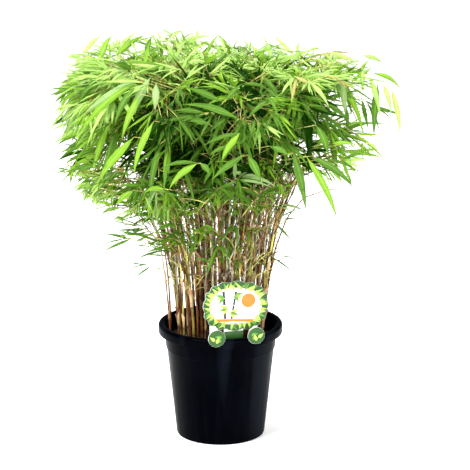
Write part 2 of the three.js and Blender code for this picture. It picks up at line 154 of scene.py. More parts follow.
class Value:
    """A shader socket that adds Math nodes when it is used in an expression."""

    def __init__(self, bench: "NodeBench", socket: Socket) -> None:
        """Wrap a socket of a material's nodes."""
        self.bench = bench
        self.socket = socket

    def _math(self, operation: str, first: "Value | float", second: "Value | float" = 0) -> "Value":
        """Give the result of one Math node, of an operation and its one or two values."""
        made = self.bench.node("ShaderNodeMath", {"operation": operation}, {0: first, 1: second})
        return Value(self.bench, made.outputs[0])

    def __add__(self, other: "Value | float") -> "Value":
        """Add."""
        return self._math("ADD", self, other)

    __radd__ = __add__

    def __sub__(self, other: "Value | float") -> "Value":
        """Take away."""
        return self._math("SUBTRACT", self, other)

    def __rsub__(self, other: "Value | float") -> "Value":
        """Take this away from a number."""
        return self._math("SUBTRACT", other, self)

    def __mul__(self, other: "Value | float") -> "Value":
        """Multiply."""
        return self._math("MULTIPLY", self, other)

    __rmul__ = __mul__

    def __abs__(self) -> "Value":
        """Drop the sign."""
        return self._math("ABSOLUTE", self)

    def sine(self) -> "Value":
        """Give the sine."""
        return self._math("SINE", self)

    def ramp(self, low: float, high: float) -> "Value":
        """Stretch the range from low to high over 0 to 1, and clip it."""
        sockets = {"Value": self, "From Min": low, "From Max": high}
        made = self.bench.node("ShaderNodeMapRange", {"clamp": True}, sockets)
        return Value(self.bench, made.outputs["Result"])


class NodeBench:
    """Adds the nodes of one material."""

    def __init__(self, name: str) -> None:
        """Make an empty node material.

        Args:
            name: The material's name.
        """
        self.material = bpy.data.materials.new(name)
        self.material.use_nodes = True
        self.tree = self.material.node_tree
        self.tree.nodes.clear()

    def node(
        self, kind: str, settings: dict[str, object] | None = None, sockets: dict | None = None
    ) -> bpy.types.Node:
        """Add a node, set it up, and give its sockets values or links.

        Args:
            kind: The node's type.
            settings: Its settings, set first.
            sockets: Values, Values of expressions or sockets, by the input's name or number.

        Returns:
            The node.
        """
        made = self.tree.nodes.new(kind)
        for key, setting in (settings or {}).items():
            setattr(made, key, setting)
        for key, source in (sockets or {}).items():
            if isinstance(source, Value):
                source = source.socket
            if isinstance(source, Socket):
                self.tree.links.new(source, made.inputs[key])
            else:
                made.inputs[key].default_value = source
        return made

    def object_place(self, scale: Colour = (1, 1, 1)) -> Socket:
        """Give the place on the object, stretched along each axis."""
        sockets = {0: self.node("ShaderNodeTexCoord").outputs["Object"], 1: scale}
        return self.node("ShaderNodeVectorMath", {"operation": "MULTIPLY"}, sockets).outputs[0]

    def noise(self, size: float, detail: float = 3, stretch: Colour = (1, 1, 1)) -> Value:
        """Give a noise about 0.5 by its patches' size in metres, its finer layers and its stretch."""
        sockets = {"Vector": self.object_place(stretch), "Scale": 1 / size, "Detail": detail}
        return Value(self, self.node("ShaderNodeTexNoise", None, sockets).outputs["Fac"])

    def axis(self, place: Socket, number: int) -> Value:
        """Give one of the three numbers of a place."""
        return Value(self, self.node("ShaderNodeSeparateXYZ", None, {0: place}).outputs[number])

    def attribute(self, name: str) -> Value:
        """Give a number that the mesh's points carry."""
        return Value(self, self.node("ShaderNodeAttribute", {"attribute_name": name}).outputs["Fac"])

    def mix(self, factor: Value, first: object, second: object) -> Socket:
        """Mix two colours or colour sockets, by a factor that is 0 for the first and 1 for the second."""
        ends = [end if isinstance(end, Socket) else (*end, 1) for end in (first, second)]
        sockets = {0: factor, 6: ends[0], 7: ends[1]}
        return self.node("ShaderNodeMix", {"data_type": "RGBA"}, sockets).outputs[2]

    def bump(self, height: Value, depth: float) -> Socket:
        """Give the normal of a relief from 0 to 1 that is so many metres deep."""
        sockets = {"Height": height, "Distance": depth, "Strength": 1}
        return self.node("ShaderNodeBump", None, sockets).outputs["Normal"]

    def finish(self, translucent: Colour | None = None, share: float = 0, **sockets: object) -> Material:
        """Close the material with a Principled shader.

        Args:
            translucent: The colour of the light that comes through, if any does.
            share: How much of the surface lets light through.
            **sockets: Values for the shader, by the socket's name with _ for a space.

        Returns:
            The material.
        """
        named = {key.replace("_", " "): value for key, value in sockets.items()}
        surface = self.node("ShaderNodeBsdfPrincipled", None, named).outputs[0]
        if translucent:
            through = self.node("ShaderNodeBsdfTranslucent", None, {"Color": (*translucent, 1)})
            mixed = {0: share, 1: surface, 2: through.outputs[0]}
            surface = self.node("ShaderNodeMixShader", None, mixed).outputs[0]
        self.node("ShaderNodeOutputMaterial", None, {"Surface": surface})
        return self.material


@dataclass(frozen=True)
class PlasticFinish:
    """Moulded black plastic with a faint haze of dust, fine handling marks, and broad vertical stripes of
    painted highlight.
    """

    black: Colour = (0.00005, 0.0002, 0.001)
    dust_and_highlight_tone: Colour = (0.0055, 0.0075, 0.012)
    roughness: float = 0.3
    dulled: float = 0.5
    shine: float = 0.01
    sheen: float = 0.1
    sheen_spread: float = 0.22
    sheen_tint: Colour = (0.5, 0.7, 1.0)

    def material(self) -> Material:
        """Make the finish."""
        bench = NodeBench("pot_plastic")
        streaks = bench.noise(5 * MM, 3, (1, 1, 0.06)).ramp(0.45, 0.8)
        haze = bench.noise(30 * MM, 4).ramp(0.42, 0.78)
        specks = bench.noise(1.6 * MM, 2).ramp(0.66, 0.78)
        # Broad vertical stripes that make the base colour paler and the surface rougher: a painted
        # highlight.
        painted_highlight_bands = bench.noise(22 * MM, 1, (1, 1, 0.03)).ramp(0.5, 0.66)
        # The mask is dust, specks and drag marks, with the painted highlight stripes weighing most; its
        # paler tone serves both.
        dust_and_painted_highlight = haze * 0.1 + specks * 0.2 + streaks * 0.1 + painted_highlight_bands * 0.6
        grain = bench.noise(0.5 * MM, 2) + streaks * 0.6
        return bench.finish(
            Base_Color=bench.mix(dust_and_painted_highlight, self.black, self.dust_and_highlight_tone),
            Roughness=self.roughness + (self.dulled - self.roughness) * dust_and_painted_highlight,
            Normal=bench.bump(grain, 0.02 * MM),
            Specular_IOR_Level=self.shine,
            Sheen_Weight=self.sheen,
            Sheen_Roughness=self.sheen_spread,
            Sheen_Tint=(*self.sheen_tint, 1),
        )


@dataclass(frozen=True)
class PeatFinish:
    """Damp dark compost, browner on its crumbs."""

    wet: Colour = (0.012, 0.008, 0.005)
    dry: Colour = (0.075, 0.045, 0.026)

    def material(self) -> Material:
        """Make the finish."""
        bench = NodeBench("peat")
        crumbs = bench.noise(2.2 * MM, 5).ramp(0.35, 0.68)
        fibres = bench.noise(0.8 * MM, 3, (1, 0.25, 1)).ramp(0.5, 0.72)
        return bench.finish(
            Base_Color=bench.mix(crumbs * 0.7 + fibres * 0.3, self.wet, self.dry),
            Roughness=0.8 + 0.18 * crumbs,
            Normal=bench.bump(crumbs + fibres * 0.4, 0.6 * MM),
        )


@dataclass(frozen=True)
class SpeckFinish:
    """Pale grains in the compost."""

    grain: Colour = (0.62, 0.6, 0.54)
    stained: Colour = (0.3, 0.25, 0.18)

    def material(self) -> Material:
        """Make the finish."""
        bench = NodeBench("pale_grains")
        pores = bench.noise(0.6 * MM, 3)
        return bench.finish(
            Base_Color=bench.mix(pores.ramp(0.4, 0.7), self.grain, self.stained),
            Roughness=0.9,
            Normal=bench.bump(pores, 0.2 * MM),
        )


@dataclass(frozen=True)
class CaneFinish:
    """Bamboo cane: a smooth rind with fine lengthwise grain, pale and dark rings at its joints, dark streaks
    of painted shade along it, and painted shade where it runs under the crown.
    """

    tone: CaneTone
    rind: Colour
    aged: Colour
    ring: Colour = (0.045, 0.018, 0.008)
    bloom: Colour = (0.55, 0.53, 0.33)
    shaded: Colour = (0.07, 0.036, 0.01)
    foot: Colour = (0.14, 0.035, 0.012)

    def material(self) -> Material:
        """Make the finish."""
        bench = NodeBench(f"cane_{self.tone.value}")
        patches = bench.noise(7 * MM, 3, (1, 1, 0.3)).ramp(0.45, 0.57)
        grain = bench.noise(0.7 * MM, 3, (1, 1, 0.05))
        joint = bench.attribute("joint")
        bloom = bench.attribute("bloom")
        rind = bench.mix(patches, self.rind, self.aged)
        grained = bench.mix(grain.ramp(0.48, 0.66) * 0.6, rind, self.ring)
        dusted = bench.mix(bloom * 0.25, grained, self.bloom)
        # Dark lengthwise streaks laid at random round each cane: painted shade in place of the shade at a
        # cane's edges.
        painted_shade_streaks = bench.noise(1.6 * MM, 2, (1, 1, 0.12)).ramp(0.47, 0.57)
        shade_streaked = bench.mix(painted_shade_streaks * 0.52, dusted, self.ring)
        place = bench.object_place()
        height = bench.axis(place, 2)
        inner = 1 - bench.axis(place, 0).ramp(2 * MM, 22 * MM)
        shaded = bench.mix(height.ramp(125 * MM, 185 * MM) * (0.35 + 0.4 * inner), shade_streaked, self.shaded)
        footed = bench.mix(0.75 - 0.75 * height.ramp(88 * MM, 130 * MM), shaded, self.foot)
        return bench.finish(
            Base_Color=bench.mix(joint * 0.85, footed, self.ring),
            Roughness=0.34 + 0.25 * patches,
            Normal=bench.bump(grain, 0.08 * MM),
            Specular_IOR_Level=0.08,
        )


@dataclass(frozen=True)
class TwigFinish:
    """Fine side twigs, purple brown to green."""

    name: str
    young: Colour
    old: Colour

    def material(self) -> Material:
        """Make the finish."""
        bench = NodeBench(self.name)
        patches = bench.noise(9 * MM, 3).ramp(0.38, 0.62)
        grain = bench.noise(0.5 * MM, 2, (1, 1, 0.2))
        return bench.finish(
            Base_Color=bench.mix(patches, self.young, self.old),
            Roughness=0.5 + 0.15 * grain,
            Normal=bench.bump(grain, 0.05 * MM),
            Specular_IOR_Level=0.1,
        )


@dataclass(frozen=True)
class LeafFinish:
    """A leaf blade: its own green, a paler rib, fine veins along it, and light through it."""

    tint: Tint
    green: Colour
    rib: Colour
    through: Colour
    share: float = 0.17
    roughness: float = 0.42
    gloss: float = 0.15
    deep_gloss: float = 0.04
    vein_waves: float = 95
    darkening: float = 0.74

    def material(self) -> Material:
        """Make the finish."""
        bench = NodeBench(f"leaf_{self.tint.value}")
        across = bench.axis(bench.node("ShaderNodeUVMap", {"uv_map": "blade"}).outputs[0], 0)
        rib = 1 - abs(across - 0.5).ramp(0.02, 0.09)
        veins = (across * self.vein_waves).sine() * 0.5 + 0.5
        patches = bench.noise(7 * MM, 2).ramp(0.35, 0.65)
        darker = tuple(self.darkening * part for part in self.green)
        blade = bench.mix(patches * 0.6 + veins * 0.2, self.green, darker)
        return bench.finish(
            self.through,
            self.share,
            Base_Color=bench.mix(rib * 0.55, blade, self.rib),
            Roughness=self.roughness + 0.12 * veins,
            Normal=bench.bump(veins + rib, 0.05 * MM),
            Specular_IOR_Level=self.deep_gloss if self.tint is Tint.DEEP else self.gloss,
        )


@dataclass(frozen=True)
class CardFinish:
    """Printed card under a thin gloss film."""

    name: str
    ink: Colour
    worn: Colour

    def material(self) -> Material:
        """Make the finish."""
        bench = NodeBench(self.name)
        mottle = bench.noise(3 * MM, 3).ramp(0.4, 0.7)
        grain = bench.noise(0.25 * MM, 2)
        return bench.finish(
            Base_Color=bench.mix(mottle * 0.5, self.ink, self.worn),
            Roughness=0.3 + 0.12 * grain,
            Normal=bench.bump(grain, 0.01 * MM),
            Coat_Weight=0.12,
            Specular_IOR_Level=0.2,
        )


@dataclass(frozen=True)
class FloorFinish:
    """The studio's pale floor."""

    white: Colour = (0.93, 0.93, 0.93)
    shade: Colour = (0.9, 0.9, 0.9)
    glow: float = 0.42

    def material(self) -> Material:
        """Make the finish."""
        bench = NodeBench("pale_floor")
        cloud = bench.noise(0.8, 2)
        return bench.finish(
            Base_Color=bench.mix(cloud, self.white, self.shade),
            Roughness=0.9,
            Emission_Color=bench.mix(cloud, self.white, self.shade),
            Emission_Strength=self.glow,
        )


class Bench:
    """The modelling operators that the pieces share, each on one named object."""

    @staticmethod
    def clear() -> None:
        """Deselect every object."""
        for thing in bpy.context.selected_objects:
            thing.select_set(False)

    @classmethod
    def choose(cls, thing: Thing) -> None:
        """Select one object alone and make it the active one."""
        cls.clear()
        thing.select_set(True)
        bpy.context.view_layer.objects.active = thing

    @staticmethod
    def name(name: str) -> Thing:
        """Name the object that was just added, and its mesh."""
        made = bpy.context.object
        made.name = made.data.name = name
        return made

    @classmethod
    def disc(cls, name: str, radius: float, corners: int, height: float) -> Thing:
        """Add a level filled circle.

        Args:
            name: The object's name.
            radius: Its radius.
            corners: How many corners it has.
            height: The height it lies at.

        Returns:
            The object.
        """
        cls.clear()
        place = (0, 0, height)
        bpy.ops.mesh.primitive_circle_add(vertices=corners, radius=radius, fill_type="NGON", location=place)
        made = cls.name(name)
        bpy.ops.object.transform_apply()
        return made

    @staticmethod
    def edit() -> None:
        """Go into edit mode with everything selected."""
        bpy.ops.object.mode_set(mode="EDIT")
        bpy.ops.mesh.select_all(action="SELECT")

    @staticmethod
    def close() -> None:
        """Turn all the faces outwards and leave edit mode."""
        bpy.ops.mesh.select_all(action="SELECT")
        bpy.ops.mesh.normals_make_consistent(inside=False)
        bpy.ops.object.mode_set(mode="OBJECT")

    @staticmethod
    def draw_up(rise: float, scale: float, height: float) -> None:
        """Extrude what is selected upwards and scale the new end about the axis.

        Args:
            rise: How far up.
            scale: The scale of the new end.
            height: The new end's height.
        """
        bpy.ops.mesh.extrude_region_move(TRANSFORM_OT_translate={"value": (0, 0, rise)})
        if abs(scale - 1) > 1e-6:
            bpy.ops.transform.resize(value=(scale, scale, 1), center_override=(0, 0, height))

    @classmethod
    def apply(cls, thing: Thing, kind: str, **settings: object) -> None:
        """Add a modifier to an object and apply it.

        Args:
            thing: The object.
            kind: The modifier's type.
            **settings: Its settings.
        """
        cls.choose(thing)
        modifier = thing.modifiers.new(kind.lower(), kind)
        for key, setting in settings.items():
            setattr(modifier, key, setting)
        bpy.ops.object.modifier_apply(modifier=modifier.name)

    @classmethod
    def cut(cls, thing: Thing, cutter: Thing) -> None:
        """Cut one object out of another, and remove the cutter."""
        cls.apply(thing, "BOOLEAN", operation="DIFFERENCE", solver="EXACT", object=cutter)
        bpy.data.objects.remove(cutter)

    @classmethod
    def smooth(cls, thing: Thing, degrees: float = 32) -> None:
        """Shade an object smooth up to an angle between faces."""
        cls.choose(thing)
        bpy.ops.object.shade_smooth_by_angle(angle=math.radians(degrees))

    @staticmethod
    def dress(
        thing: Thing, material: Material, slot: str | None, nodes: Iterable[str] = ()
    ) -> None:
        """Give a finished piece its material and its place in the frame.

        Args:
            thing: The piece.
            material: Its finish.
            slot: The record's material slot, if it has one; not used.
            nodes: The CAD nodes that it stands for.
        """
        thing.data.materials.clear()
        thing.data.materials.append(material)
        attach(thing, "root")
        if nodes:
            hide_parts(*nodes)
        log.info("%s: %d faces", thing.name, len(thing.data.polygons))


@dataclass
class Gather:
    """Collects many small shapes as arrays, for one joined mesh."""

    places: list[Array] = field(default_factory=list)
    quads: list[Array] = field(default_factory=list)
    triangles: list[Array] = field(default_factory=list)
    numbers: dict[str, list[Array]] = field(default_factory=dict)
    blades: list[Array] = field(default_factory=list)
    count: int = 0

    def add(
        self,
        places: Array,
        quads: Sequence,
        triangles: Sequence,
        blade: Array | None = None,
        **numbers: Array,
    ) -> None:
        """Add a shape.

        Args:
            places: Its points, one row each.
            quads: Its four-sided faces, by point.
            triangles: Its three-sided faces, by point.
            blade: The place across and along a leaf of each point, if it has one.
            **numbers: Named numbers that each point carries.
        """
        self.quads.append(np.asarray(quads, int).reshape(-1, 4) + self.count)
        self.triangles.append(np.asarray(triangles, int).reshape(-1, 3) + self.count)
        self.places.append(places)
        if blade is not None:
            self.blades.append(blade)
        for name, values in numbers.items():
            self.numbers.setdefault(name, []).append(values)
        self.count += len(places)

    def piece(self, name: str, smooth: bool = True) -> Thing:
        """Make the joined mesh as an object.

        Args:
            name: The object's name.
            smooth: Whether its faces are shaded smooth.

        Returns:
            The object, at the origin.
        """
        quads, triangles = np.concatenate(self.quads), np.concatenate(self.triangles)
        corners = np.concatenate([quads.ravel(), triangles.ravel()])
        starts = np.concatenate([np.arange(len(quads)) * 4, 4 * len(quads) + np.arange(len(triangles)) * 3])
        mesh = bpy.data.meshes.new(name)
        mesh.vertices.add(self.count)
        mesh.vertices.foreach_set("co", np.concatenate(self.places).astype(np.float32).ravel())
        mesh.loops.add(len(corners))
        mesh.loops.foreach_set("vertex_index", corners.astype(np.int32))
        mesh.polygons.add(len(starts))
        mesh.polygons.foreach_set("loop_start", starts.astype(np.int32))
        mesh.update(calc_edges=True)
        for key, values in self.numbers.items():
            layer = mesh.attributes.new(key, "FLOAT", "POINT")
            layer.data.foreach_set("value", np.concatenate(values).astype(np.float32))
        if self.blades:
            layer = mesh.uv_layers.new(name="blade")
            layer.data.foreach_set("uv", np.concatenate(self.blades)[corners].astype(np.float32).ravel())
        mesh.polygons.foreach_set("use_smooth", [smooth] * len(starts))
        mesh.validate()
        made = bpy.data.objects.new(name, mesh)
        bpy.context.scene.collection.objects.link(made)
        return made


def add_limb(
    gather: Gather, points: Sequence[Vector], halves: Sequence[float], sides: int, **numbers: Sequence[float]
) -> None:
    """Add a tapering limb through a list of points, with its ends closed.

    Args:
        gather: Where the limb goes.
        points: The middle of each ring.
        halves: The radius of each ring.
        sides: How many sides it has.
        **numbers: Named numbers, one for each ring.
    """
    rows = len(points)
    middles = rows_of(points)
    runs = np.gradient(middles, axis=0)
    runs /= np.linalg.norm(runs, axis=1)[:, None] + 1e-12
    hint = np.array([0, 1, 0.01]) if abs(runs[0][0]) > 0.8 else np.array([1, 0, 0.01])
    across = hint - runs * (runs @ hint)[:, None]
    across /= np.linalg.norm(across, axis=1)[:, None]
    depth = np.cross(runs, across)
    angles = np.arange(sides) / sides * ROUND
    radii = np.asarray(halves)[:, None, None]
    ring = across[:, None] * np.cos(angles)[None, :, None] + depth[:, None] * np.sin(angles)[None, :, None]
    places = (middles[:, None] + radii * ring).reshape(-1, 3)
    row, side = np.meshgrid(np.arange(rows - 1), np.arange(sides), indexing="ij")
    first, second = row * sides + side, row * sides + (side + 1) % sides
    quads = np.stack([first, second, second + sides, first + sides], -1)
    last = (rows - 1) * sides
    caps = [(0, k + 1, k) for k in range(1, sides - 1)]
    caps += [(last, last + k, last + k + 1) for k in range(1, sides - 1)]
    spread = {name: np.repeat(np.asarray(values), sides) for name, values in numbers.items()}
    gather.add(places, quads, caps, **spread)


@dataclass
class NurseryPot:
    """The round black pot: a tapered wall, a collar under a flanged lip, a notched foot."""

    height: float = 84 * MM
    rim_radius: float = 45.3 * MM
    foot_radius: float = 32.3 * MM
    wall_top_radius: float = 41.2 * MM
    wall: float = 1.3 * MM
    floor_top: float = 4 * MM
    lip_depth: float = 7 * MM
    lip_top_width: float = 3.9 * MM
    lip_skin: float = 1.3 * MM
    flange: float = 2.6 * MM
    edge: float = 0.6 * MM
    collar_bottom: float = 65.5 * MM
    collar_proud: float = 0.7 * MM
    foot_ring: float = 5 * MM
    foot_recess: float = 2.2 * MM
    boss_radius: float = 8 * MM
    notches: int = 8
    notch_width: float = 9 * MM
    notch_height: float = 1.8 * MM
    drains: int = 6
    drain_radius: float = 3 * MM
    drain_circle: float = 17 * MM
    corners: int = 144
    lip_round: float = 2 * MM
    lip_steps: int = 6
    drain_sides: int = 28

    # The section of the bar that cuts a notch: half widths aside and shares of its height.
    BAR = ((-1, 0), (1, 0), (1, 0.9), (0.8, 1), (-0.8, 1), (-1, 0.9))

    def wall_radius(self, height: float) -> float:
        """Give the outside radius of the tapered wall at a height."""
        return lerp(self.foot_radius, self.wall_top_radius, height / self.height)

    def profile(self) -> list[Flat]:
        """List the outline of the pot as (radius, height), from the recess below to the floor inside."""
        top, rim, edge, under = self.height, self.rim_radius, self.edge, self.height - self.flange
        skirt, collar = top - self.lip_depth, self.collar_bottom
        foot, wall = self.foot_radius, self.wall_radius
        outline = [
            (foot - self.foot_ring - edge, self.foot_recess),
            (foot - self.foot_ring, 0),
            (foot - 2 * edge, 0),
            (foot - edge / 2, edge / 2),
            (foot, 2 * edge),
            (wall(collar) - edge / 8, collar - edge / 4),
            (wall(collar), collar),
            (wall(collar) + 0.7 * self.collar_proud, collar + edge / 2),
            (wall(collar) + self.collar_proud, collar + 2 * edge),
            (wall(under) + self.wall / 4, under),
            (rim - self.lip_skin, under + edge),
            (rim - self.lip_skin, skirt),
            (rim - edge / 2, skirt),
            (rim, skirt + edge),
        ]
        for step in range(self.lip_steps + 1):
            angle = step / self.lip_steps * math.pi / 2
            out = rim - self.lip_round * (1 - math.cos(angle))
            outline.append((out, top - self.lip_round * (1 - math.sin(angle))))
        inner = rim - self.lip_top_width
        outline += [
            (inner + edge, top),
            (inner + edge / 4, top - edge / 4),
            (inner, top - edge),
            (wall(skirt) - self.wall, skirt),
            (wall(self.floor_top) - self.wall, self.floor_top + 2 * edge),
            (wall(self.floor_top) - self.wall - 2 * edge, self.floor_top),
        ]
        return outline

    def build(self) -> None:
        """Draw the pot up from a disc, ring by ring, and cut its notches and drain holes."""
        outline = self.profile()
        radius, height = outline[0]
        pot = Bench.disc("nursery_pot", radius, self.corners, height)
        Bench.edit()
        for next_radius, next_height in outline[1:]:
            Bench.draw_up(next_height - height, next_radius / radius, next_height)
            radius, height = next_radius, next_height
        self._add_boss(pot)
        Bench.close()
        Bench.cut(pot, self._notch_cutter())
        Bench.cut(pot, self._drain_cutter())
        Bench.smooth(pot)
        Bench.dress(pot, PlasticFinish().material(), "pot_plastic", ["pot"])

    def _add_boss(self, pot: Thing) -> None:
        """Draw the round boss down from the recess under the pot.

        Args:
            pot: The pot, in edit mode.
        """
        bpy.ops.mesh.select_all(action="DESELECT")
        mesh = bmesh.from_edit_mesh(pot.data)
        for face in mesh.faces:
            low = face.calc_center_median().z < self.foot_recess + self.edge
            if low and len(face.verts) == self.corners:
                face.select_set(True)
        bmesh.update_edit_mesh(pot.data)
        inner = self.foot_radius - self.foot_ring - self.edge
        bpy.ops.mesh.inset(thickness=inner - self.boss_radius - self.edge)
        Bench.draw_up(-self.foot_recess, self.boss_radius / (self.boss_radius + self.edge), 0)

    def _notch_cutter(self) -> Thing:
        """Make the roofed bars that the foot's notches are cut with."""
        gather = Gather()
        count = len(self.BAR)
        sides = [(k, (k + 1) % count, (k + 1) % count + count, k + count) for k in range(count)]
        caps = [(0, k + 1, k) for k in range(1, count - 1)]
        caps += [(count, count + k, count + k + 1) for k in range(1, count - 1)]
        up = Vector((0, 0, 2 * self.notch_height))
        for n in range(self.notches):
            turn = Matrix.Rotation((n + 0.5) / self.notches * ROUND, 4, "Z")
            near, far = self.foot_radius - 2 * self.foot_ring, self.foot_radius + 2 * self.foot_ring
            ends = [turn @ Vector((out, 0, -self.notch_height)) for out in (near, far)]
            side = square_to(ends[1] - ends[0])[0] * (self.notch_width / 2)
            corners = [end + s * side + lift * up for end in ends for s, lift in self.BAR]
            gather.add(rows_of(corners), sides, caps)
        return gather.piece("notch_cutter", False)

    def _drain_cutter(self) -> Thing:
        """Make the pins that the drain holes are cut with."""
        gather = Gather()
        for x, y in circle(self.drain_circle, self.drains):
            foot = Vector((x, y, -self.floor_top))
            top = foot + Vector((0, 0, 3 * self.floor_top))
            add_limb(gather, [foot, top], [self.drain_radius] * 2, self.drain_sides)
        return gather.piece("drain_cutter", False)


@dataclass
class Compost:
    """The filled root ball: a lumpy peat surface with loose crumbs and pale grains on it."""

    pot: NurseryPot
    top: float = 72 * MM
    seat: float = 0.3 * MM
    gap: float = 0.4 * MM
    corners: int = 112
    rings: int = 24
    ring: float = 1.45 * MM
    lump: float = 9 * MM
    lump_height: float = 1.7 * MM
    crumb: float = 2.4 * MM
    crumb_height: float = 1.1 * MM
    crumbs: int = 900
    grains: int = 70
    chip_least: float = 0.5 * MM
    crumb_most: float = 1.5 * MM
    grain_most: float = 1.1 * MM

    # A chip's six points, in half sizes, and its faces.
    CHIP = ((-1, 0, 0), (1, 0, 0), (0, -0.7, 0), (0, 0.7, 0), (0, 0, 0.6), (0, 0, -0.6))
    CHIP_FACES = ((0, 2, 4), (2, 1, 4), (1, 3, 4), (3, 0, 4), (2, 0, 5), (1, 2, 5), (3, 1, 5), (0, 3, 5))

    def lift(self, x: float, y: float) -> float:
        """Give how far the surface stands above its level at a place across and back."""
        low = noise.noise(Vector((x, y, 0.3)) / self.lump)
        fine = noise.noise(Vector((x, y, 0.9)) / self.crumb)
        return self.lump_height * low + self.crumb_height * fine

    def build(self) -> None:
        """Make the peat, its crumbs and its grains."""
        finish = PeatFinish().material()
        Bench.dress(self._plug(), finish, "peat", ["soil"])
        Bench.dress(self._scatter("peat_crumbs", self.crumbs, self.crumb_most, 1), finish, "peat")
        grains = self._scatter("pale_grains", self.grains, self.grain_most, 2)
        Bench.dress(grains, SpeckFinish().material(), None)

    def _plug(self) -> Thing:
        """Draw the plug up inside the pot and roughen its top."""
        bottom = self.pot.floor_top + self.seat
        inside = [self.pot.wall_radius(z) - self.pot.wall - self.gap for z in (bottom, self.top)]
        bevel = 3 * self.pot.edge
        plug = Bench.disc("compost", inside[0] - bevel, self.corners, bottom)
        Bench.edit()
        Bench.draw_up(bevel, inside[0] / (inside[0] - bevel), bottom + bevel)
        Bench.draw_up(self.top - bottom - bevel, inside[1] / inside[0], self.top)
        for _ in range(self.rings):
            bpy.ops.mesh.inset(thickness=self.ring)
        bpy.ops.mesh.poke()
        Bench.close()
        for point in plug.data.vertices:
            out = math.hypot(point.co.x, point.co.y)
            if point.co.z > self.top - self.seat and out < inside[1] - self.seat:
                point.co.z += self.lift(point.co.x, point.co.y)
        Bench.smooth(plug, 50)
        return plug

    def _scatter(self, name: str, count: int, most: float, key: int) -> Thing:
        """Scatter rough eight-faced chips over the surface.

        Args:
            name: The piece's name.
            count: How many chips.
            most: The largest half size.
            key: A key for the seeded numbers.

        Returns:
            The piece.
        """
        gather = Gather()
        reach = self.pot.wall_radius(self.top) - self.pot.wall - self.gap - most
        for n in range(count):
            out = reach * math.sqrt(chance(n, key, 1))
            angle = n * GOLDEN_TURN + key
            x, y = out * math.cos(angle), out * math.sin(angle)
            size = lerp(self.chip_least, most, chance(n, key, 2) ** 3)
            axis = Vector((swing(n, 4, key), swing(n, 5, key), 0.7))
            turn = Matrix.Rotation(ROUND * chance(n, key, 3), 3, axis)
            middle = Vector((x, y, self.top + self.lift(x, y) + 0.15 * size))
            corners = [
                middle + turn @ (Vector(corner) * size * lerp(0.8, 1.2, chance(n, k, 6)))
                for k, corner in enumerate(self.CHIP)
            ]
            gather.add(rows_of(corners), (), self.CHIP_FACES)
        return gather.piece(name, False)


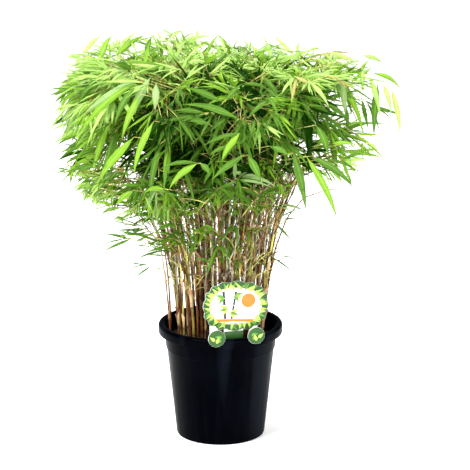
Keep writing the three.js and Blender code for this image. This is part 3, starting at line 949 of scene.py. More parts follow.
@dataclass
class PlantLabel:
    """A plain die-cut card behind the rim, held by two round hooks over the lip.

    Its print is a plain garden motif: two canes with leaves, a round sun and a band, on a pale panel
    in a leafy edge.
    """

    turn: float = 0.26
    plane: float = 36.6 * MM
    thick: float = 0.8 * MM
    half_width: float = 24 * MM
    half_height: float = 18.4 * MM
    middle: float = 106.6 * MM
    side_shift: float = 1.6 * MM
    roll: float = -0.07
    corner_power: float = 0.8
    lobes: int = 16
    lobe_depth: float = 1.3 * MM
    steps: int = 192
    tongue_half: float = 7 * MM
    tongue_bottom: float = 72.3 * MM
    hook_offset: float = 14.5 * MM
    hook_radius: float = 6.2 * MM
    hook_middle: float = 86 * MM
    hook_plane: float = 44.95 * MM
    arm_half: float = 3 * MM
    arm_thick: float = 1 * MM
    arm_bottom: float = 84.3 * MM
    ink_thick: float = 0.09 * MM
    edge_leaf: float = 5.2 * MM
    field_inset: float = 0.08 * MM
    panel_inset: float = 3.6 * MM
    print_sink: float = 0.05 * MM
    bevel: float = 0.12 * MM
    clearance: float = 3 * MM
    stay_reach: float = 5 * MM
    hook_steps: int = 48
    panel_steps: int = 96
    sun_steps: int = 40
    rib_leaf: Flat = (6.6 * MM, 1.25 * MM)
    hook_leaf: Flat = (5 * MM, 1.2 * MM)
    edge_leaf_half: float = 0.95 * MM
    edge_leaf_sway: float = 0.22

    # The leaves on a hook (millimetres): where each stands, and the way it points. The tufts of the
    # motif: where each stands, and the side that its leaves point to.
    HOOK_LEAVES = ((-2.6, -2.8, 1.0), (0.2, -3.6, 1.9), (-3.6, 0.6, 0.2), (1.4, -1.6, 0.7))
    TUFTS = ((-9.4, 6.5, -1), (-6, -1.5, -1), (-1.2, 8.2, 1), (-3.4, -4.5, 1))
    TUFT_LEANS = (-0.75, -0.1, 0.5)

    # The motif's canes (millimetres): where each stands, its lean and half its thickness.
    MOTIF_CANES = ((-7.2, -0.13, 0.95), (-2.6, 0.1, 0.75))
    MOTIF_FOOT = -9.4
    JOINT_STEP = 5.1
    JOINT_LENGTH = 4.7

    # The sun's middle and radius, and the band's corners (millimetres).
    SUN = (9, 4.2, 5.2)
    BAND = ((-13, -11.6), (13, -11.6), (13.6, -10.6), (13, -9.6), (-13, -9.6), (-13.6, -10.6))

    # A leaf's outline: shares of its length, and shares of its width there.
    LEAF_STATIONS = ((0.12, 0.7), (0.3, 1), (0.5, 0.85), (0.75, 0.4))

    def outline(self, angle: float, inset: float = 0, lobed: bool = True) -> Flat:
        """Give a point of the plaque's lobed outline, about its middle.

        Args:
            angle: The angle round the outline.
            inset: How far inside the edge the point lies.
            lobed: Whether it follows the lobes.

        Returns:
            The place across and up.
        """
        lobe = self.lobe_depth * abs(math.cos(angle * self.lobes / 2)) if lobed else 0
        across, up = math.cos(angle), math.sin(angle)
        across = math.copysign(abs(across) ** self.corner_power, across)
        up = math.copysign(abs(up) ** self.corner_power, up)
        width = self.half_width - self.lobe_depth + lobe - inset
        height = self.half_height - self.lobe_depth + lobe - inset
        return width * across, height * up

    def blocks(self, point: Vector) -> bool:
        """Tell whether a place lies in the card or in front of it.

        Args:
            point: The place.

        Returns:
            Whether it does.
        """
        local = Matrix.Rotation(-self.turn, 3, "Z") @ point
        beside = abs(local.x - self.side_shift) - self.half_width
        over = abs(local.z - self.middle) - self.half_height
        return -local.y > self.plane - self.clearance and max(beside, over) < self.clearance

    def _turned(self, across: float, out: float, up: float) -> Vector:
        """Give a place by its distances across, out from the pot's axis and up, before the turn."""
        return Matrix.Rotation(self.turn, 3, "Z") @ Vector((across, -out, up))

    def place(self, across: float, up: float, proud: float) -> Vector:
        """Give the place of a point on the plaque's face, about the plaque's middle."""
        flat = Matrix.Rotation(self.roll, 2) @ Vector((across, up))
        return self._turned(flat.x + self.side_shift, self.plane + proud, flat.y + self.middle)

    def hook_place(self, side: int, across: float, up: float, proud: float) -> Vector:
        """Give the place of a point on one of the two round hooks."""
        across = side * self.hook_offset + across
        return self._turned(across, self.hook_plane + proud, self.hook_middle + up)

    def _upright(self, across: float, up: float, proud: float) -> Vector:
        """Give the place of a point on the tongue, which isn't rolled with the plaque."""
        return self._turned(across, self.plane + proud, up + self.middle)

    def build(self) -> None:
        """Make the card and each of its inks."""
        white = CardFinish("card_white", (0.86, 0.87, 0.82), (0.78, 0.79, 0.74)).material()
        Bench.dress(self._board(), white, "card", ["label_card"])
        Bench.dress(self._film("label_panel", self._panel()), white, "card")
        inks = (
            ("label_field", "ink_forest", (0.02, 0.075, 0.012), (0.03, 0.11, 0.015), self._fields()),
            ("label_leaf_green", "ink_green", (0.1, 0.27, 0.03), (0.14, 0.33, 0.04), self._edge_leaves(0)),
            ("label_leaf_lime", "ink_lime", (0.42, 0.6, 0.1), (0.33, 0.52, 0.08), self._edge_leaves(1)),
            ("label_charcoal", "ink_charcoal", (0.02, 0.02, 0.022), (0.04, 0.04, 0.04), self._canes()),
            ("label_sun", "ink_orange", (0.74, 0.18, 0.02), (0.68, 0.22, 0.03), self._sun()),
        )
        for name, ink, fresh, worn, shapes in inks:
            Bench.dress(self._film(name, shapes), CardFinish(ink, fresh, worn).material(), "card")

    def _film(self, name: str, shapes: Iterable[Shape]) -> Thing:
        """Print shapes as thin raised films of ink, each closed by a fan about its middle.

        Args:
            name: The piece's name.
            shapes: Each one's outline as (across, up), anticlockwise from the front, what gives the
                place in the frame of (across, up, proud), and how many films it lies on.

        Returns:
            The piece.
        """
        gather = Gather()
        for outline, place, lift in shapes:
            base = self.thick + lift * self.ink_thick
            low = [place(x, z, base - self.print_sink) for x, z in outline]
            high = [place(x, z, base + self.ink_thick) for x, z in outline]
            count = len(outline)
            quads = [(k, (k + 1) % count, (k + 1) % count + count, k + count) for k in range(count)]
            middles = [sum(ring, Vector()) / count for ring in (low, high)]
            caps = [(2 * count + 1, count + k, count + (k + 1) % count) for k in range(count)]
            caps += [(2 * count, (k + 1) % count, k) for k in range(count)]
            gather.add(rows_of(low + high + middles), quads, caps)
        return gather.piece(name, False)

    def _board(self) -> Thing:
        """Cut the plaque, tongue, stays and hooks and join them."""
        outline = [self.outline(n / self.steps * ROUND) for n in range(self.steps)]
        board = self._plate("plant_label", outline, self.place, self.thick)
        bottom = self.tongue_bottom - self.middle
        half = self.tongue_half
        tongue = [(-half, bottom), (half, bottom), (half, 0), (-half, 0)]
        parts = [self._plate("tongue", tongue, self._upright, self.thick)]
        for side in (-1, 1):
            disc = circle(self.hook_radius, self.hook_steps)
            parts.append(self._plate("hook", disc, partial(self.hook_place, side), self.thick))
            parts.append(self._arm(side))
        for part in parts:
            Bench.apply(board, "BOOLEAN", operation="UNION", solver="EXACT", object=part)
            bpy.data.objects.remove(part)
        Bench.apply(board, "BEVEL", width=self.bevel, segments=1, limit_method="ANGLE")
        Bench.smooth(board, 25)
        return board

    def _plate(self, name: str, outline: Sequence[Flat], place: Placer, thick: float) -> Thing:
        """Cut one flat shape and extrude it.

        Args:
            name: The object's name.
            outline: The outline as (across, up), anticlockwise from the front.
            place: Gives the place in the frame of (across, up, proud).
            thick: How thick the plate is.

        Returns:
            The object.
        """
        Bench.clear()
        bpy.ops.mesh.primitive_circle_add(vertices=len(outline), radius=self.half_width, fill_type="NGON")
        plate = Bench.name(name)
        for point, (across, up) in zip(plate.data.vertices, outline):
            point.co = place(across, up, 0)
        Bench.edit()
        out = place(0, 0, thick) - place(0, 0, 0)
        bpy.ops.mesh.extrude_region_move(TRANSFORM_OT_translate={"value": tuple(out)})
        Bench.close()
        return plate

    def _arm(self, side: int) -> Thing:
        """Bend one arm: up the plaque's back, over the lip and out to its hook.

        Args:
            side: -1 for the left hook, 1 for the right one.

        Returns:
            The arm.
        """
        outer = self.hook_plane + self.thick
        stay_top = self.middle - self.half_height + self.stay_reach
        section = [
            (self.plane, self.arm_bottom),
            (outer, self.arm_bottom),
            (outer, self.arm_bottom + self.arm_thick),
            (self.plane + self.thick, self.arm_bottom + self.arm_thick),
            (self.plane + self.thick, stay_top),
            (self.plane, stay_top),
        ]

        def bent(out: float, up: float, proud: float) -> Vector:
            """Give the place of a point of the arm's section, proud being how far across it is."""
            return self._turned(side * self.hook_offset - self.arm_half + proud, out, up)

        return self._plate("arm", section, bent, 2 * self.arm_half)

    def _leaf_outline(self, root: Flat, angle: float, length: float, half: float) -> list[Flat]:
        """Give a pointed leaf's outline.

        Args:
            root: Where the leaf starts.
            angle: The way it points.
            length: Its length.
            half: Half its width.

        Returns:
            The outline, anticlockwise.
        """
        right = [(length * s, -half * w) for s, w in self.LEAF_STATIONS]
        left = [(length * s, half * w) for s, w in self.LEAF_STATIONS[::-1]]
        cos, sin = math.cos(angle), math.sin(angle)
        places = [(0, 0), *right, (length, 0), *left]
        return [(root[0] + x * cos - y * sin, root[1] + x * sin + y * cos) for x, y in places]

    def _fields(self) -> Iterator[Shape]:
        """Draw the dark grounds of the edge, the tongue and the hooks."""
        turns = np.arange(self.steps) / self.steps * ROUND
        yield [self.outline(turn, self.field_inset) for turn in turns], self.place, 0
        half, top = self.tongue_half - self.field_inset, -self.half_height
        bottom = self.tongue_bottom - self.middle + self.field_inset
        yield [(-half, bottom), (half, bottom), (half, top), (-half, top)], self._upright, 0
        for side in (-1, 1):
            disc = circle(self.hook_radius - self.field_inset, self.steps)
            yield disc, partial(self.hook_place, side), 0

    def _panel(self) -> Iterator[Shape]:
        """Draw the pale panel that the motif stands on."""
        turns = np.arange(self.panel_steps) / self.panel_steps * ROUND
        yield [self.outline(turn, self.panel_inset, False) for turn in turns], self.place, 1

    def _edge_leaves(self, parity: int) -> Iterator[Shape]:
        """Draw the leafy edge, and every second leaf of the motif and the hooks, in one green.

        Args:
            parity: 0 for the dark green, 1 for the lime one.

        Returns:
            The shapes.
        """
        count = 4 * self.lobes + 2
        edge = self.field_inset + 0.1 * MM
        for n in range(parity, count, 2):
            angle = n / count * ROUND
            root = self.outline(angle, self.edge_leaf, False)
            tip = self.outline(angle + self.edge_leaf_sway * swing(n, 21), edge)
            way = math.atan2(tip[1] - root[1], tip[0] - root[0])
            reach = math.hypot(tip[1] - root[1], tip[0] - root[0])
            yield self._leaf_outline(root, way, reach, self.edge_leaf_half), self.place, 1 + 0.5 * parity
        for x, z, angle in self._motif_leaves()[parity::2]:
            yield self._leaf_outline((x, z), angle, *self.rib_leaf), self.place, 3
        for side in (-1, 1):
            for x, z, angle in self.HOOK_LEAVES[parity::2]:
                way = math.pi / 2 + side * (angle - math.pi / 2)
                shape = self._leaf_outline((side * x * MM, z * MM), way, *self.hook_leaf)
                yield shape, partial(self.hook_place, side), 1 + parity

    def _motif_leaves(self) -> list[Colour]:
        """List the motif's leaves as (across, up, the way they point)."""
        return [
            (x * MM, z * MM, (0 if hand > 0 else math.pi) - hand * (0.25 - lean))
            for x, z, hand in self.TUFTS
            for lean in self.TUFT_LEANS
        ]

    def _canes(self) -> Iterator[Shape]:
        """Draw the motif's two jointed canes."""
        for foot, lean, half in self.MOTIF_CANES:
            for n in range(4):
                low = self.MOTIF_FOOT + self.JOINT_STEP * n
                start, end = low * MM, (low + self.JOINT_LENGTH) * MM
                x0 = foot * MM + lean * (start - self.MOTIF_FOOT * MM)
                x1 = foot * MM + lean * (end - self.MOTIF_FOOT * MM)
                wide, slim = half * MM * 1.12, half * MM * 0.86
                middle, at = (x0 + x1) / 2, (start + end) / 2
                right = [(x0 + wide, start), (middle + slim, at), (x1 + wide, end)]
                left = [(x1 - wide, end), (middle - slim, at)]
                yield [(x0 - wide, start), *right, *left], self.place, 2

    def _sun(self) -> Iterator[Shape]:
        """Draw the sun and the band."""
        across, up, radius = (size * MM for size in self.SUN)
        yield [(across + x, up + z) for x, z in circle(radius, self.sun_steps)], self.place, 2
        yield [(x * MM, z * MM) for x, z in self.BAND], self.place, 2


@dataclass(frozen=True)
class Tier:
    """One ring of canes: its count, where it starts, its shares and its line, in millimetres."""

    name: str
    count: int
    start: float
    mouth: float
    line: tuple[Flat, ...]


TIERS = (
    Tier("skirt", 10, 0.035, 0.5, ((31, 0), (36, 140), (48, 214), (98, 203))),
    Tier("shoulder", 9, 0, 0.54, ((24, 0), (28, 165), (44, 244), (86, 268))),
    Tier("crest", 5, 0.09, 0.62, ((14, 0), (16, 150), (20, 225), (38, 270))),
    Tier("heart", 3, 0.17, 0.56, ((6.5, 0), (8, 130), (13, 178), (40, 214))),
    Tier("spire", 1, 0.3, 0.66, ((1, 0), (2, 150), (3, 230), (6, 266))),
)


@dataclass
class Cane:
    """One cane: a cubic curve from the compost to its tip."""

    tier: Tier
    tier_number: int
    number: int
    pulls: list[Vector]
    stout: float
    order: int
    main: bool = True
    foot_half: float = 1.45 * MM
    mouth_half: float = 0.85 * MM
    tip_half: float = 0.6 * MM

    def point(self, share: float) -> Vector:
        """Give the place at a share of the line."""
        a, b, c, d = self.pulls
        rest = 1 - share
        return a * rest**3 + b * (3 * rest * rest * share) + c * (3 * rest * share * share) + d * share**3

    def run(self, share: float) -> Vector:
        """Give the direction at a share of the line."""
        return unit(self.point(min(share + 0.01, 1)) - self.point(max(share - 0.01, 0)))

    def stance(self, share: float) -> tuple[Vector, ...]:
        """Give the place and the direction at a share of the line, and the two square to it."""
        run = self.run(share)
        return self.point(share), run, *square_to(run)

    def half(self, share: float) -> float:
        """Give half the thickness at a share of the line."""
        mouth = self.tier.mouth
        if share < mouth:
            return self.stout * lerp(self.foot_half, self.mouth_half, share / mouth)
        return self.stout * lerp(self.mouth_half, self.tip_half, (share - mouth) / (1 - mouth))

    @property
    def tone(self) -> CaneTone:
        """The cane's colour, as the solids deal it."""
        return list(CaneTone)[self.order % len(CaneTone)]

    @property
    def tag(self) -> str:
        """The end of the names of the cane's nodes."""
        return f"{self.tier.name}_{self.number + 1:02d}"


@dataclass
class Clump:
    """Where the canes stand and how they lean: the rule that the solids are laid out by."""

    soil_top: float = 72
    seat: float = 0.3
    foot_shift: float = 4
    foot_jitter: float = 1.4
    turn_jitter: float = 0.12
    stout_least: float = 0.85
    stout_range: float = 0.3
    reach_jitter: float = 0.06
    rise_jitter: float = 6
    depth_share: float = 0.92
    left_sag: float = 0.1
    left_feet: float = -17 * MM
    left_shift: Colour = (-7.5, -1.5, 0)
    left_stout: float = 0.5
    apart: Flat = (3.2, 1.6)
    straying: float = 0.7
    shrinking: float = 0.16
    drop: Flat = (5, 22)
    thinness: Flat = (0.32, 0.28)
    thin_order: int = 40

    def canes(self) -> list[Cane]:
        """Lay out the canes, in metres."""
        made = []
        for t, tier in enumerate(TIERS):
            for n in range(tier.count):
                turn = (n + self.turn_jitter * swing(t, n, 1)) / tier.count + tier.start
                reach = 1 + self.reach_jitter * swing(t, n, 2)
                rise = self.rise_jitter * swing(t, n, 3)
                x, y = math.cos(turn * ROUND), self.depth_share * math.sin(turn * ROUND)
                sag = self.left_sag * x if tier.name == "skirt" else 0
                pulls = []
                for k, (distance, height) in enumerate(tier.line):
                    out = distance if k < 2 else distance * reach
                    lift = 0 if k < 2 else rise + sag * distance
                    back = self.foot_shift * (1 - k / 3)
                    pulls.append(Vector((out * x, out * y + back, height + lift)) * MM)
                pulls[0].x += self.foot_jitter * MM * swing(t, n, 4)
                pulls[0].y += self.foot_jitter * MM * swing(t, n, 5)
                pulls[0].z = (self.soil_top + self.seat) * MM
                stout = self.stout_least + self.stout_range * chance(t, n, 6)
                made.append(Cane(tier, t, n, pulls, stout, len(made)))
        return made

    def companions(self, canes: Sequence[Cane]) -> list[Cane]:
        """Lay out a thinner cane on each side of each main one, which strays from it on its way up.

        Args:
            canes: The main canes.

        Returns:
            The thinner canes.
        """
        made = []
        for cane, hand in ((cane, hand) for hand in (1, -1) for cane in canes[:-1]):
            keys = (cane.tier_number, cane.number + (0 if hand > 0 else self.thin_order))
            foot = cane.pulls[0]
            aside = unit(Vector((foot.y, -foot.x, 0))) * hand
            apart = (self.apart[0] + self.apart[1] * chance(*keys, 31)) * MM
            pulls = []
            for k, pull in enumerate(cane.pulls):
                stray = aside * (apart * (1 + k * (self.straying + swing(*keys, 32))))
                shrink = 1 - (self.shrinking * chance(*keys, 33) if k > 1 else 0)
                drop = (self.drop[0] + self.drop[1] * chance(*keys, 34)) * MM if k > 1 else 0
                pulls.append(Vector((pull.x * shrink, pull.y * shrink, pull.z - drop)) + stray)
            stout = self.thinness[0] + self.thinness[1] * chance(*keys, 35)
            made.append(self._thin(cane, pulls, stout, len(made)))
        for cane in [cane for cane in canes if cane.pulls[0].x < self.left_feet]:
            pulls = [pull + Vector(self.left_shift) * MM * (1 - k / 3) for k, pull in enumerate(cane.pulls)]
            made.append(self._thin(cane, pulls, self.left_stout, len(made)))
        return made

    def _thin(self, cane: Cane, pulls: list[Vector], stout: float, number: int) -> Cane:
        """Make a thinner cane that shares a main one's tier and keys."""
        order = self.thin_order + number
        return Cane(cane.tier, cane.tier_number, cane.number, pulls, stout, order, False)


@dataclass(frozen=True)
class Crown:
    """The space that all the foliage stays in: flat on top, sloping in below."""

    half_width: float = 131 * MM
    half_depth: float = 122 * MM
    middle: float = 222 * MM
    rise: float = 69 * MM
    right_fall: float = 0.08
    fall_start: float = -20 * MM
    hang: float = 72 * MM
    hang_across: float = -0.16
    hang_back: float = 0.2
    top_squareness: float = 4
    under_squareness: float = 1.7
    ripple: float = 0.04
    ripple_share: float = 0.6
    ripple_pitch: float = 22 * MM

    def depth(self, x: float, y: float, z: float) -> float:
        """Tell how far outside the crown a point lies: under 1 is inside.

        Args:
            x: Across.
            y: Back.
            z: Up.

        Returns:
            0 at the middle, 1 at the crown's surface.
        """
        turn = math.atan2(y, x)
        fine = math.sin(7 * turn + z / self.ripple_pitch)
        wave = 1 + self.ripple * (math.sin(3 * turn + 1) + self.ripple_share * fine)
        out = math.hypot(x / self.half_width, y / self.half_depth) / wave
        above = z - self.middle
        hang = self.hang + self.hang_across * x + self.hang_back * y
        rise = self.rise - self.right_fall * max(x - self.fall_start, 0)
        up = above / rise if above > 0 else -above / hang
        power = self.top_squareness if above > 0 else self.under_squareness
        return (out**power + up**power) ** (1 / power)


@dataclass
class CaneWork:
    """The bare canes with the relief of their joints, their thin shoots and their dry sheaths."""

    canes: list[Cane]
    label: PlantLabel
    sides: int = 8
    joint_gap: float = 17 * MM
    gap_growth: float = 0.55
    sheath_length: float = 13 * MM
    uprights: int = 3
    upright_least: float = 34 * MM
    upright_range: float = 42 * MM
    slimness: float = 0.84
    upper_relief: float = 0.7
    last_relief: float = 0.995
    shoot_height: float = 92 * MM
    shoot_steps: int = 25
    shoot_halves: Flat = (0.85, 0.4)
    shoot_stray: Flat = (1.2, 8)
    shoot_curve: float = 1.6
    shoot_outward: float = 0.16
    shoot_joints: int = 5
    upright_halves: Flat = (0.52, 0.3)
    upright_lean: Flat = (0.08, 0.62)
    sheath_chance: float = 0.62
    sheath_above: float = 0.2

    # The rind's own colour and the one of its older patches, by tone.
    RINDS = {
        CaneTone.OLIVE: ((0.13, 0.19, 0.006), (0.8, 0.84, 0.16)),
        CaneTone.BROWN: ((0.05, 0.009, 0.003), (0.6, 0.29, 0.075)),
        CaneTone.STRAW: ((1.0, 0.97, 0.72), (0.2, 0.07, 0.015)),
    }
    UPRIGHT_TONES = (CaneTone.BROWN, CaneTone.STRAW, CaneTone.BROWN, CaneTone.STRAW)

    # The relief along a joint: the distance from it in millimetres, the swelling, the dark ring
    # and the pale bloom below it.
    RELIEF = (
        (-4.2, 1.0, 0.0, 0.25),
        (-1.6, 1.04, 0.05, 1.0),
        (-0.55, 1.2, 0.7, 0.4),
        (-0.1, 1.02, 1.0, 0.0),
        (0.45, 1.17, 0.6, 0.0),
        (1.5, 1.02, 0.1, 0.0),
    )

    # The same at a cane's two ends, with the share of its line in place of the distance.
    FOOT = (0.0, 1.1, 0.5, 0.0)
    TIP = (1.0, 0.7, 0.0, 0.0)

    def joints(self, cane: Cane) -> list[float]:
        """List the joints of a cane as shares of its line, further apart up to its middle.

        Args:
            cane: The cane.

        Returns:
            The shares, from the foot up.
        """
        length = sum((cane.point((k + 1) / 40) - cane.point(k / 40)).length for k in range(40))
        found = []
        place = self.joint_gap * (0.35 + 0.4 * chance(cane.order, 11))
        while place < 0.97 * length:
            found.append(place / length)
            share = place / length
            grown = self.joint_gap * (1 + self.gap_growth * math.sin(math.pi * share))
            place += grown * (1 + 0.12 * swing(cane.order, len(found), 12))
        return found

    def build(self) -> None:
        """Make the canes of each tone, and the sheaths."""
        gathers = {tone: Gather() for tone in CaneTone}
        for cane in self.canes:
            self._add_cane(gathers[cane.tone], cane)
            if cane.main and cane.tier_number < 2 and cane.number % 2 == 1:
                self._add_shoot(gathers[cane.tone], cane)
            for number in range(self.uprights if cane.pulls[0].x > 0 else self.uprights // 3):
                self._add_upright(gathers[self.UPRIGHT_TONES[(cane.order + number) % 4]], cane, number)
        for tone, gather in gathers.items():
            nodes = [f"cane_{cane.tag}" for cane in self.canes if cane.main and cane.tone is tone]
            piece = gather.piece(f"canes_{tone.value}")
            finish = CaneFinish(tone, *self.RINDS[tone])
            Bench.dress(piece, finish.material(), f"cane_{tone.value}", nodes)
        self._wrap_sheaths()

    def _add_cane(self, gather: Gather, cane: Cane) -> None:
        """Add one cane with the relief of all its joints.

        Args:
            gather: The canes of its tone.
            cane: The cane.
        """
        length = (cane.pulls[3] - cane.pulls[0]).length
        stations = [self.FOOT]
        for joint in self.joints(cane):
            for shift, swell, ring, bloom in self.RELIEF:
                share = joint + shift * MM / length
                if stations[-1][0] + 1e-4 < share < self.last_relief:
                    relief = 1 if share < cane.tier.mouth else self.upper_relief
                    stations.append((share, 1 + (swell - 1) * relief, ring, bloom))
        shares, swells, rings, blooms = zip(*stations, self.TIP)
        slim = self.slimness if cane.main else 1
        halves = [cane.half(share) * swell * slim for share, swell in zip(shares, swells)]
        points = [cane.point(share) for share in shares]
        add_limb(gather, points, halves, self.sides, joint=rings, bloom=blooms)

    def _add_shoot(self, gather: Gather, cane: Cane) -> None:
        """Add the thin shoot that leans away from a cane of the outer tiers.

        Args:
            gather: The canes of its tone.
            cane: The cane that it leaves.
        """
        foot = cane.point(0)
        aside = unit(Vector((-foot.y, foot.x, 0)))
        height = self.shoot_height * (0.8 + 0.4 * chance(cane.tier_number, cane.number, 9))
        points, halves, rings, blooms = [], [], [], []
        for k in range(self.shoot_steps + 1):
            share = k / self.shoot_steps
            stray = self.shoot_stray[0] + self.shoot_stray[1] * share**self.shoot_curve
            point = foot + aside * stray * MM
            outward = 1 + self.shoot_outward * share * share
            ridge = k % self.shoot_joints == 3
            points.append(Vector((point.x * outward, point.y * outward, foot.z + height * share)))
            halves.append(lerp(*self.shoot_halves, share) * MM * (1.2 if ridge else 1))
            rings.append(1.0 if ridge else 0.0)
            blooms.append(0.6 if k % self.shoot_joints == 2 else 0.0)
        add_limb(gather, points, halves, 6, joint=rings, bloom=blooms)

    def _add_upright(self, gather: Gather, cane: Cane, number: int) -> None:
        """Add one fine branch that leaves a cane below the crown and climbs beside it.

        Args:
            gather: The canes of its tone.
            cane: The cane that it leaves.
            number: Which of the cane's branches it is.
        """
        keys = (cane.order, 60 + number)
        share = cane.tier.mouth * lerp(0.28, 1, chance(*keys, 1))
        root, run, side, face = cane.stance(share)
        turn = ROUND * chance(*keys, 2)
        lean = lerp(*self.upright_lean, chance(*keys, 4) ** 2)
        aside = leaning(side, face, turn) * lean
        length = self.upright_least + self.upright_range * chance(*keys, 3)
        wobble = 0.06 * swing(*keys, 5)
        points, halves, rings = [], [], []
        for k in range(8):
            step = k / 7
            bow = aside * step**0.7 + side * (wobble * math.sin(9 * step))
            points.append(root + (run * step + bow) * length)
            halves.append(lerp(*self.upright_halves, step) * MM * (1.3 if k % 3 == 2 else 1))
            rings.append(0.9 if k % 3 == 2 else 0.1)
        if not any(self.label.blocks(point) for point in points):
            add_limb(gather, points, halves, 5, joint=rings, bloom=[0.0] * len(points))

    def _wrap_sheaths(self) -> None:
        """Wrap papery sheaths round some joints, each a split cone that ends in a point."""
        gather = Gather()
        for cane in self.canes:
            for n, share in enumerate(self.joints(cane)):
                dry = chance(cane.order, n, 13) < self.sheath_chance
                if dry and share < cane.tier.mouth + self.sheath_above:
                    self._add_sheath(gather, cane, n, share)
        finish = TwigFinish("dry_sheath", (0.55, 0.4, 0.2), (0.3, 0.16, 0.07))
        Bench.dress(gather.piece("dry_sheaths"), finish.material(), "cane_straw")

    def _add_sheath(self, gather: Gather, cane: Cane, number: int, share: float) -> None:
        """Add one sheath, rooted at a joint and open on one side.

        Args:
            gather: The sheaths.
            cane: The cane.
            number: The joint's number.
            share: The joint's share of the cane's line.
        """
        root, run, side, face = cane.stance(share)
        around = ROUND * chance(cane.order, number, 14)
        length = self.sheath_length * (0.6 + 0.7 * chance(cane.order, number, 15))
        flare = 0.2 + 0.9 * chance(cane.order, number, 16) ** 2
        columns = 6
        upper = ((0.7, 1.35 + 0.6 * flare, 0.6), (1.0, 1.5 + 2.2 * flare, 0.06))
        rows = ((0, 1.12, 1.0), (0.35, 1.22, 0.95), *upper)
        places = []
        for along, wide, wrap in rows:
            for k in range(columns):
                angle = around + (k / (columns - 1) - 0.5) * wrap * 1.5 * math.pi
                out = leaning(side, face, angle)
                places.append(root + run * (along * length) + out * (cane.half(share) * wide))
        corners = [r * columns + k for r in range(len(rows) - 1) for k in range(columns - 1)]
        quads = [(corner, corner + 1, corner + columns + 1, corner + columns) for corner in corners]
        gather.add(rows_of(places), quads, ())


@dataclass(frozen=True)
class Sight:
    """The photograph's camera, with the photograph's pixels counted in its own frame."""

    place: Colour = (0.0106, -1.5, 0.5512)
    pitch: float = math.radians(15)
    lens: float = 164.8
    sensor: float = 36
    frame: float = 470

    def shown(self, across: float, down: float, back: float) -> Vector:
        """Give the place that a pixel shows at a given distance back.

        Args:
            across: The pixel's column.
            down: The pixel's row.
            back: How far behind the plant's middle the place lies.

        Returns:
            The place in the frame.
        """
        focal = self.frame * self.lens / self.sensor
        x, y, z = self.place
        away = back - y
        fall = away * math.tan(self.pitch + math.atan((down - self.frame / 2) / focal))
        along = away * math.cos(self.pitch) + fall * math.sin(self.pitch)
        return Vector((x + (across - self.frame / 2) / focal * along, back, z - fall))


LIME, FRESH, MID, PALE = Tint.LIME, Tint.FRESH, Tint.MID, Tint.PALE

# The large leaves, read off the photograph: root and tip in its pixels, broadness, tint.
LEAF_MARKS = (
    (329, 63, 364, 139, 4.2, FRESH),
    (342, 82, 345, 115, 4, PALE),
    (362, 67, 363, 93, 3.5, LIME),
    (369, 74, 380, 118, 3.5, LIME),
    (378, 84, 374, 137, 4.8, MID),
    (371, 73, 402, 92, 3, FRESH),
    (383, 84, 391, 113, 3.4, LIME),
    (391, 88, 400, 136, 3.6, LIME),
    (293, 153, 306, 212, 5.2, MID),
    (306, 156, 338, 222, 4.4, FRESH),
    (311, 156, 354, 189, 4.4, MID),
    (322, 159, 360, 173, 2, MID),
    (343, 159, 366, 155, 2.4, MID),
    (344, 160, 366, 161, 2, LIME),
    (344, 160, 360, 170, 2.2, LIME),
    (316, 125, 328, 155, 4.4, MID),
    (369, 143, 377, 150, 2, LIME),
    (270, 73, 294, 88, 3, MID),
    (362, 55, 383, 64, 3, LIME),
    (328, 52, 357, 63, 3, LIME),
    (292, 61, 303, 52, 3, LIME),
    (331, 143, 357, 145, 2.4, FRESH),
    (343, 144, 343, 156, 3, MID),
    (181, 55, 207, 83, 3.4, FRESH),
    (223, 102, 183, 87, 3.6, MID),
    (239, 119, 180, 105, 4, MID),
    (205, 113, 173, 111, 2.6, MID),
    (209, 124, 188, 122, 3.5, MID),
    (226, 100, 242, 84, 3, MID),
    (267, 101, 248, 119, 3, MID),
    (240, 133, 222, 161, 3.8, FRESH),
    (240, 133, 203, 146, 2.6, MID),
    (228, 145, 209, 156, 2.4, MID),
    (198, 163, 159, 170, 2.4, MID),
    (198, 163, 169, 190, 3.8, FRESH),
    (200, 163, 210, 176, 3.6, MID),
    (244, 155, 212, 180, 4, MID),
    (248, 155, 261, 182, 4.6, MID),
    (242, 84, 269, 90, 2.2, MID),
    (262, 75, 280, 101, 3, MID),
    (267, 71, 290, 83, 3.4, MID),
    (269, 146, 290, 157, 3.6, MID),
    (221, 69, 223, 85, 3, FRESH),
    (204, 64, 220, 57, 3, FRESH),
    (156, 83, 155, 111, 4.4, PALE),
    (100, 61, 112, 36, 4, FRESH),
    (83, 55, 102, 36, 3.4, LIME),
    (82, 56, 67, 58, 3, LIME),
    (115, 56, 145, 35, 4, FRESH),
    (146, 54, 152, 37, 3.4, MID),
    (133, 70, 113, 64, 4.2, MID),
    (140, 78, 83, 115, 5, PALE),
    (139, 81, 75, 146, 4, FRESH),
    (150, 78, 135, 115, 5.4, PALE),
    (136, 85, 115, 126, 4, MID),
    (140, 94, 122, 140, 4, FRESH),
    (154, 121, 134, 175, 4, FRESH),
    (134, 137, 96, 187, 4.8, FRESH),
    (100, 75, 77, 112, 4, MID),
    (169, 41, 185, 30, 2, LIME),
    (197, 39, 198, 30, 2, LIME),
    (91, 164, 66, 177, 2.6, MID),
    (98, 165, 74, 177, 2.6, MID),
    (95, 187, 73, 195, 3, FRESH),
    (101, 192, 81, 206, 2, MID),
    (94, 181, 80, 184, 2.2, MID),
    (114, 206, 93, 203, 2.4, FRESH),
    (122, 208, 98, 218, 2.6, FRESH),
    (124, 223, 113, 221, 2.6, FRESH),
    (133, 190, 117, 205, 4, FRESH),
    (154, 214, 132, 217, 2.8, MID),
    (165, 189, 144, 193, 3, FRESH),
    (137, 235, 127, 232, 1.8, MID),
    (127, 237, 120, 241, 1.8, FRESH),
)
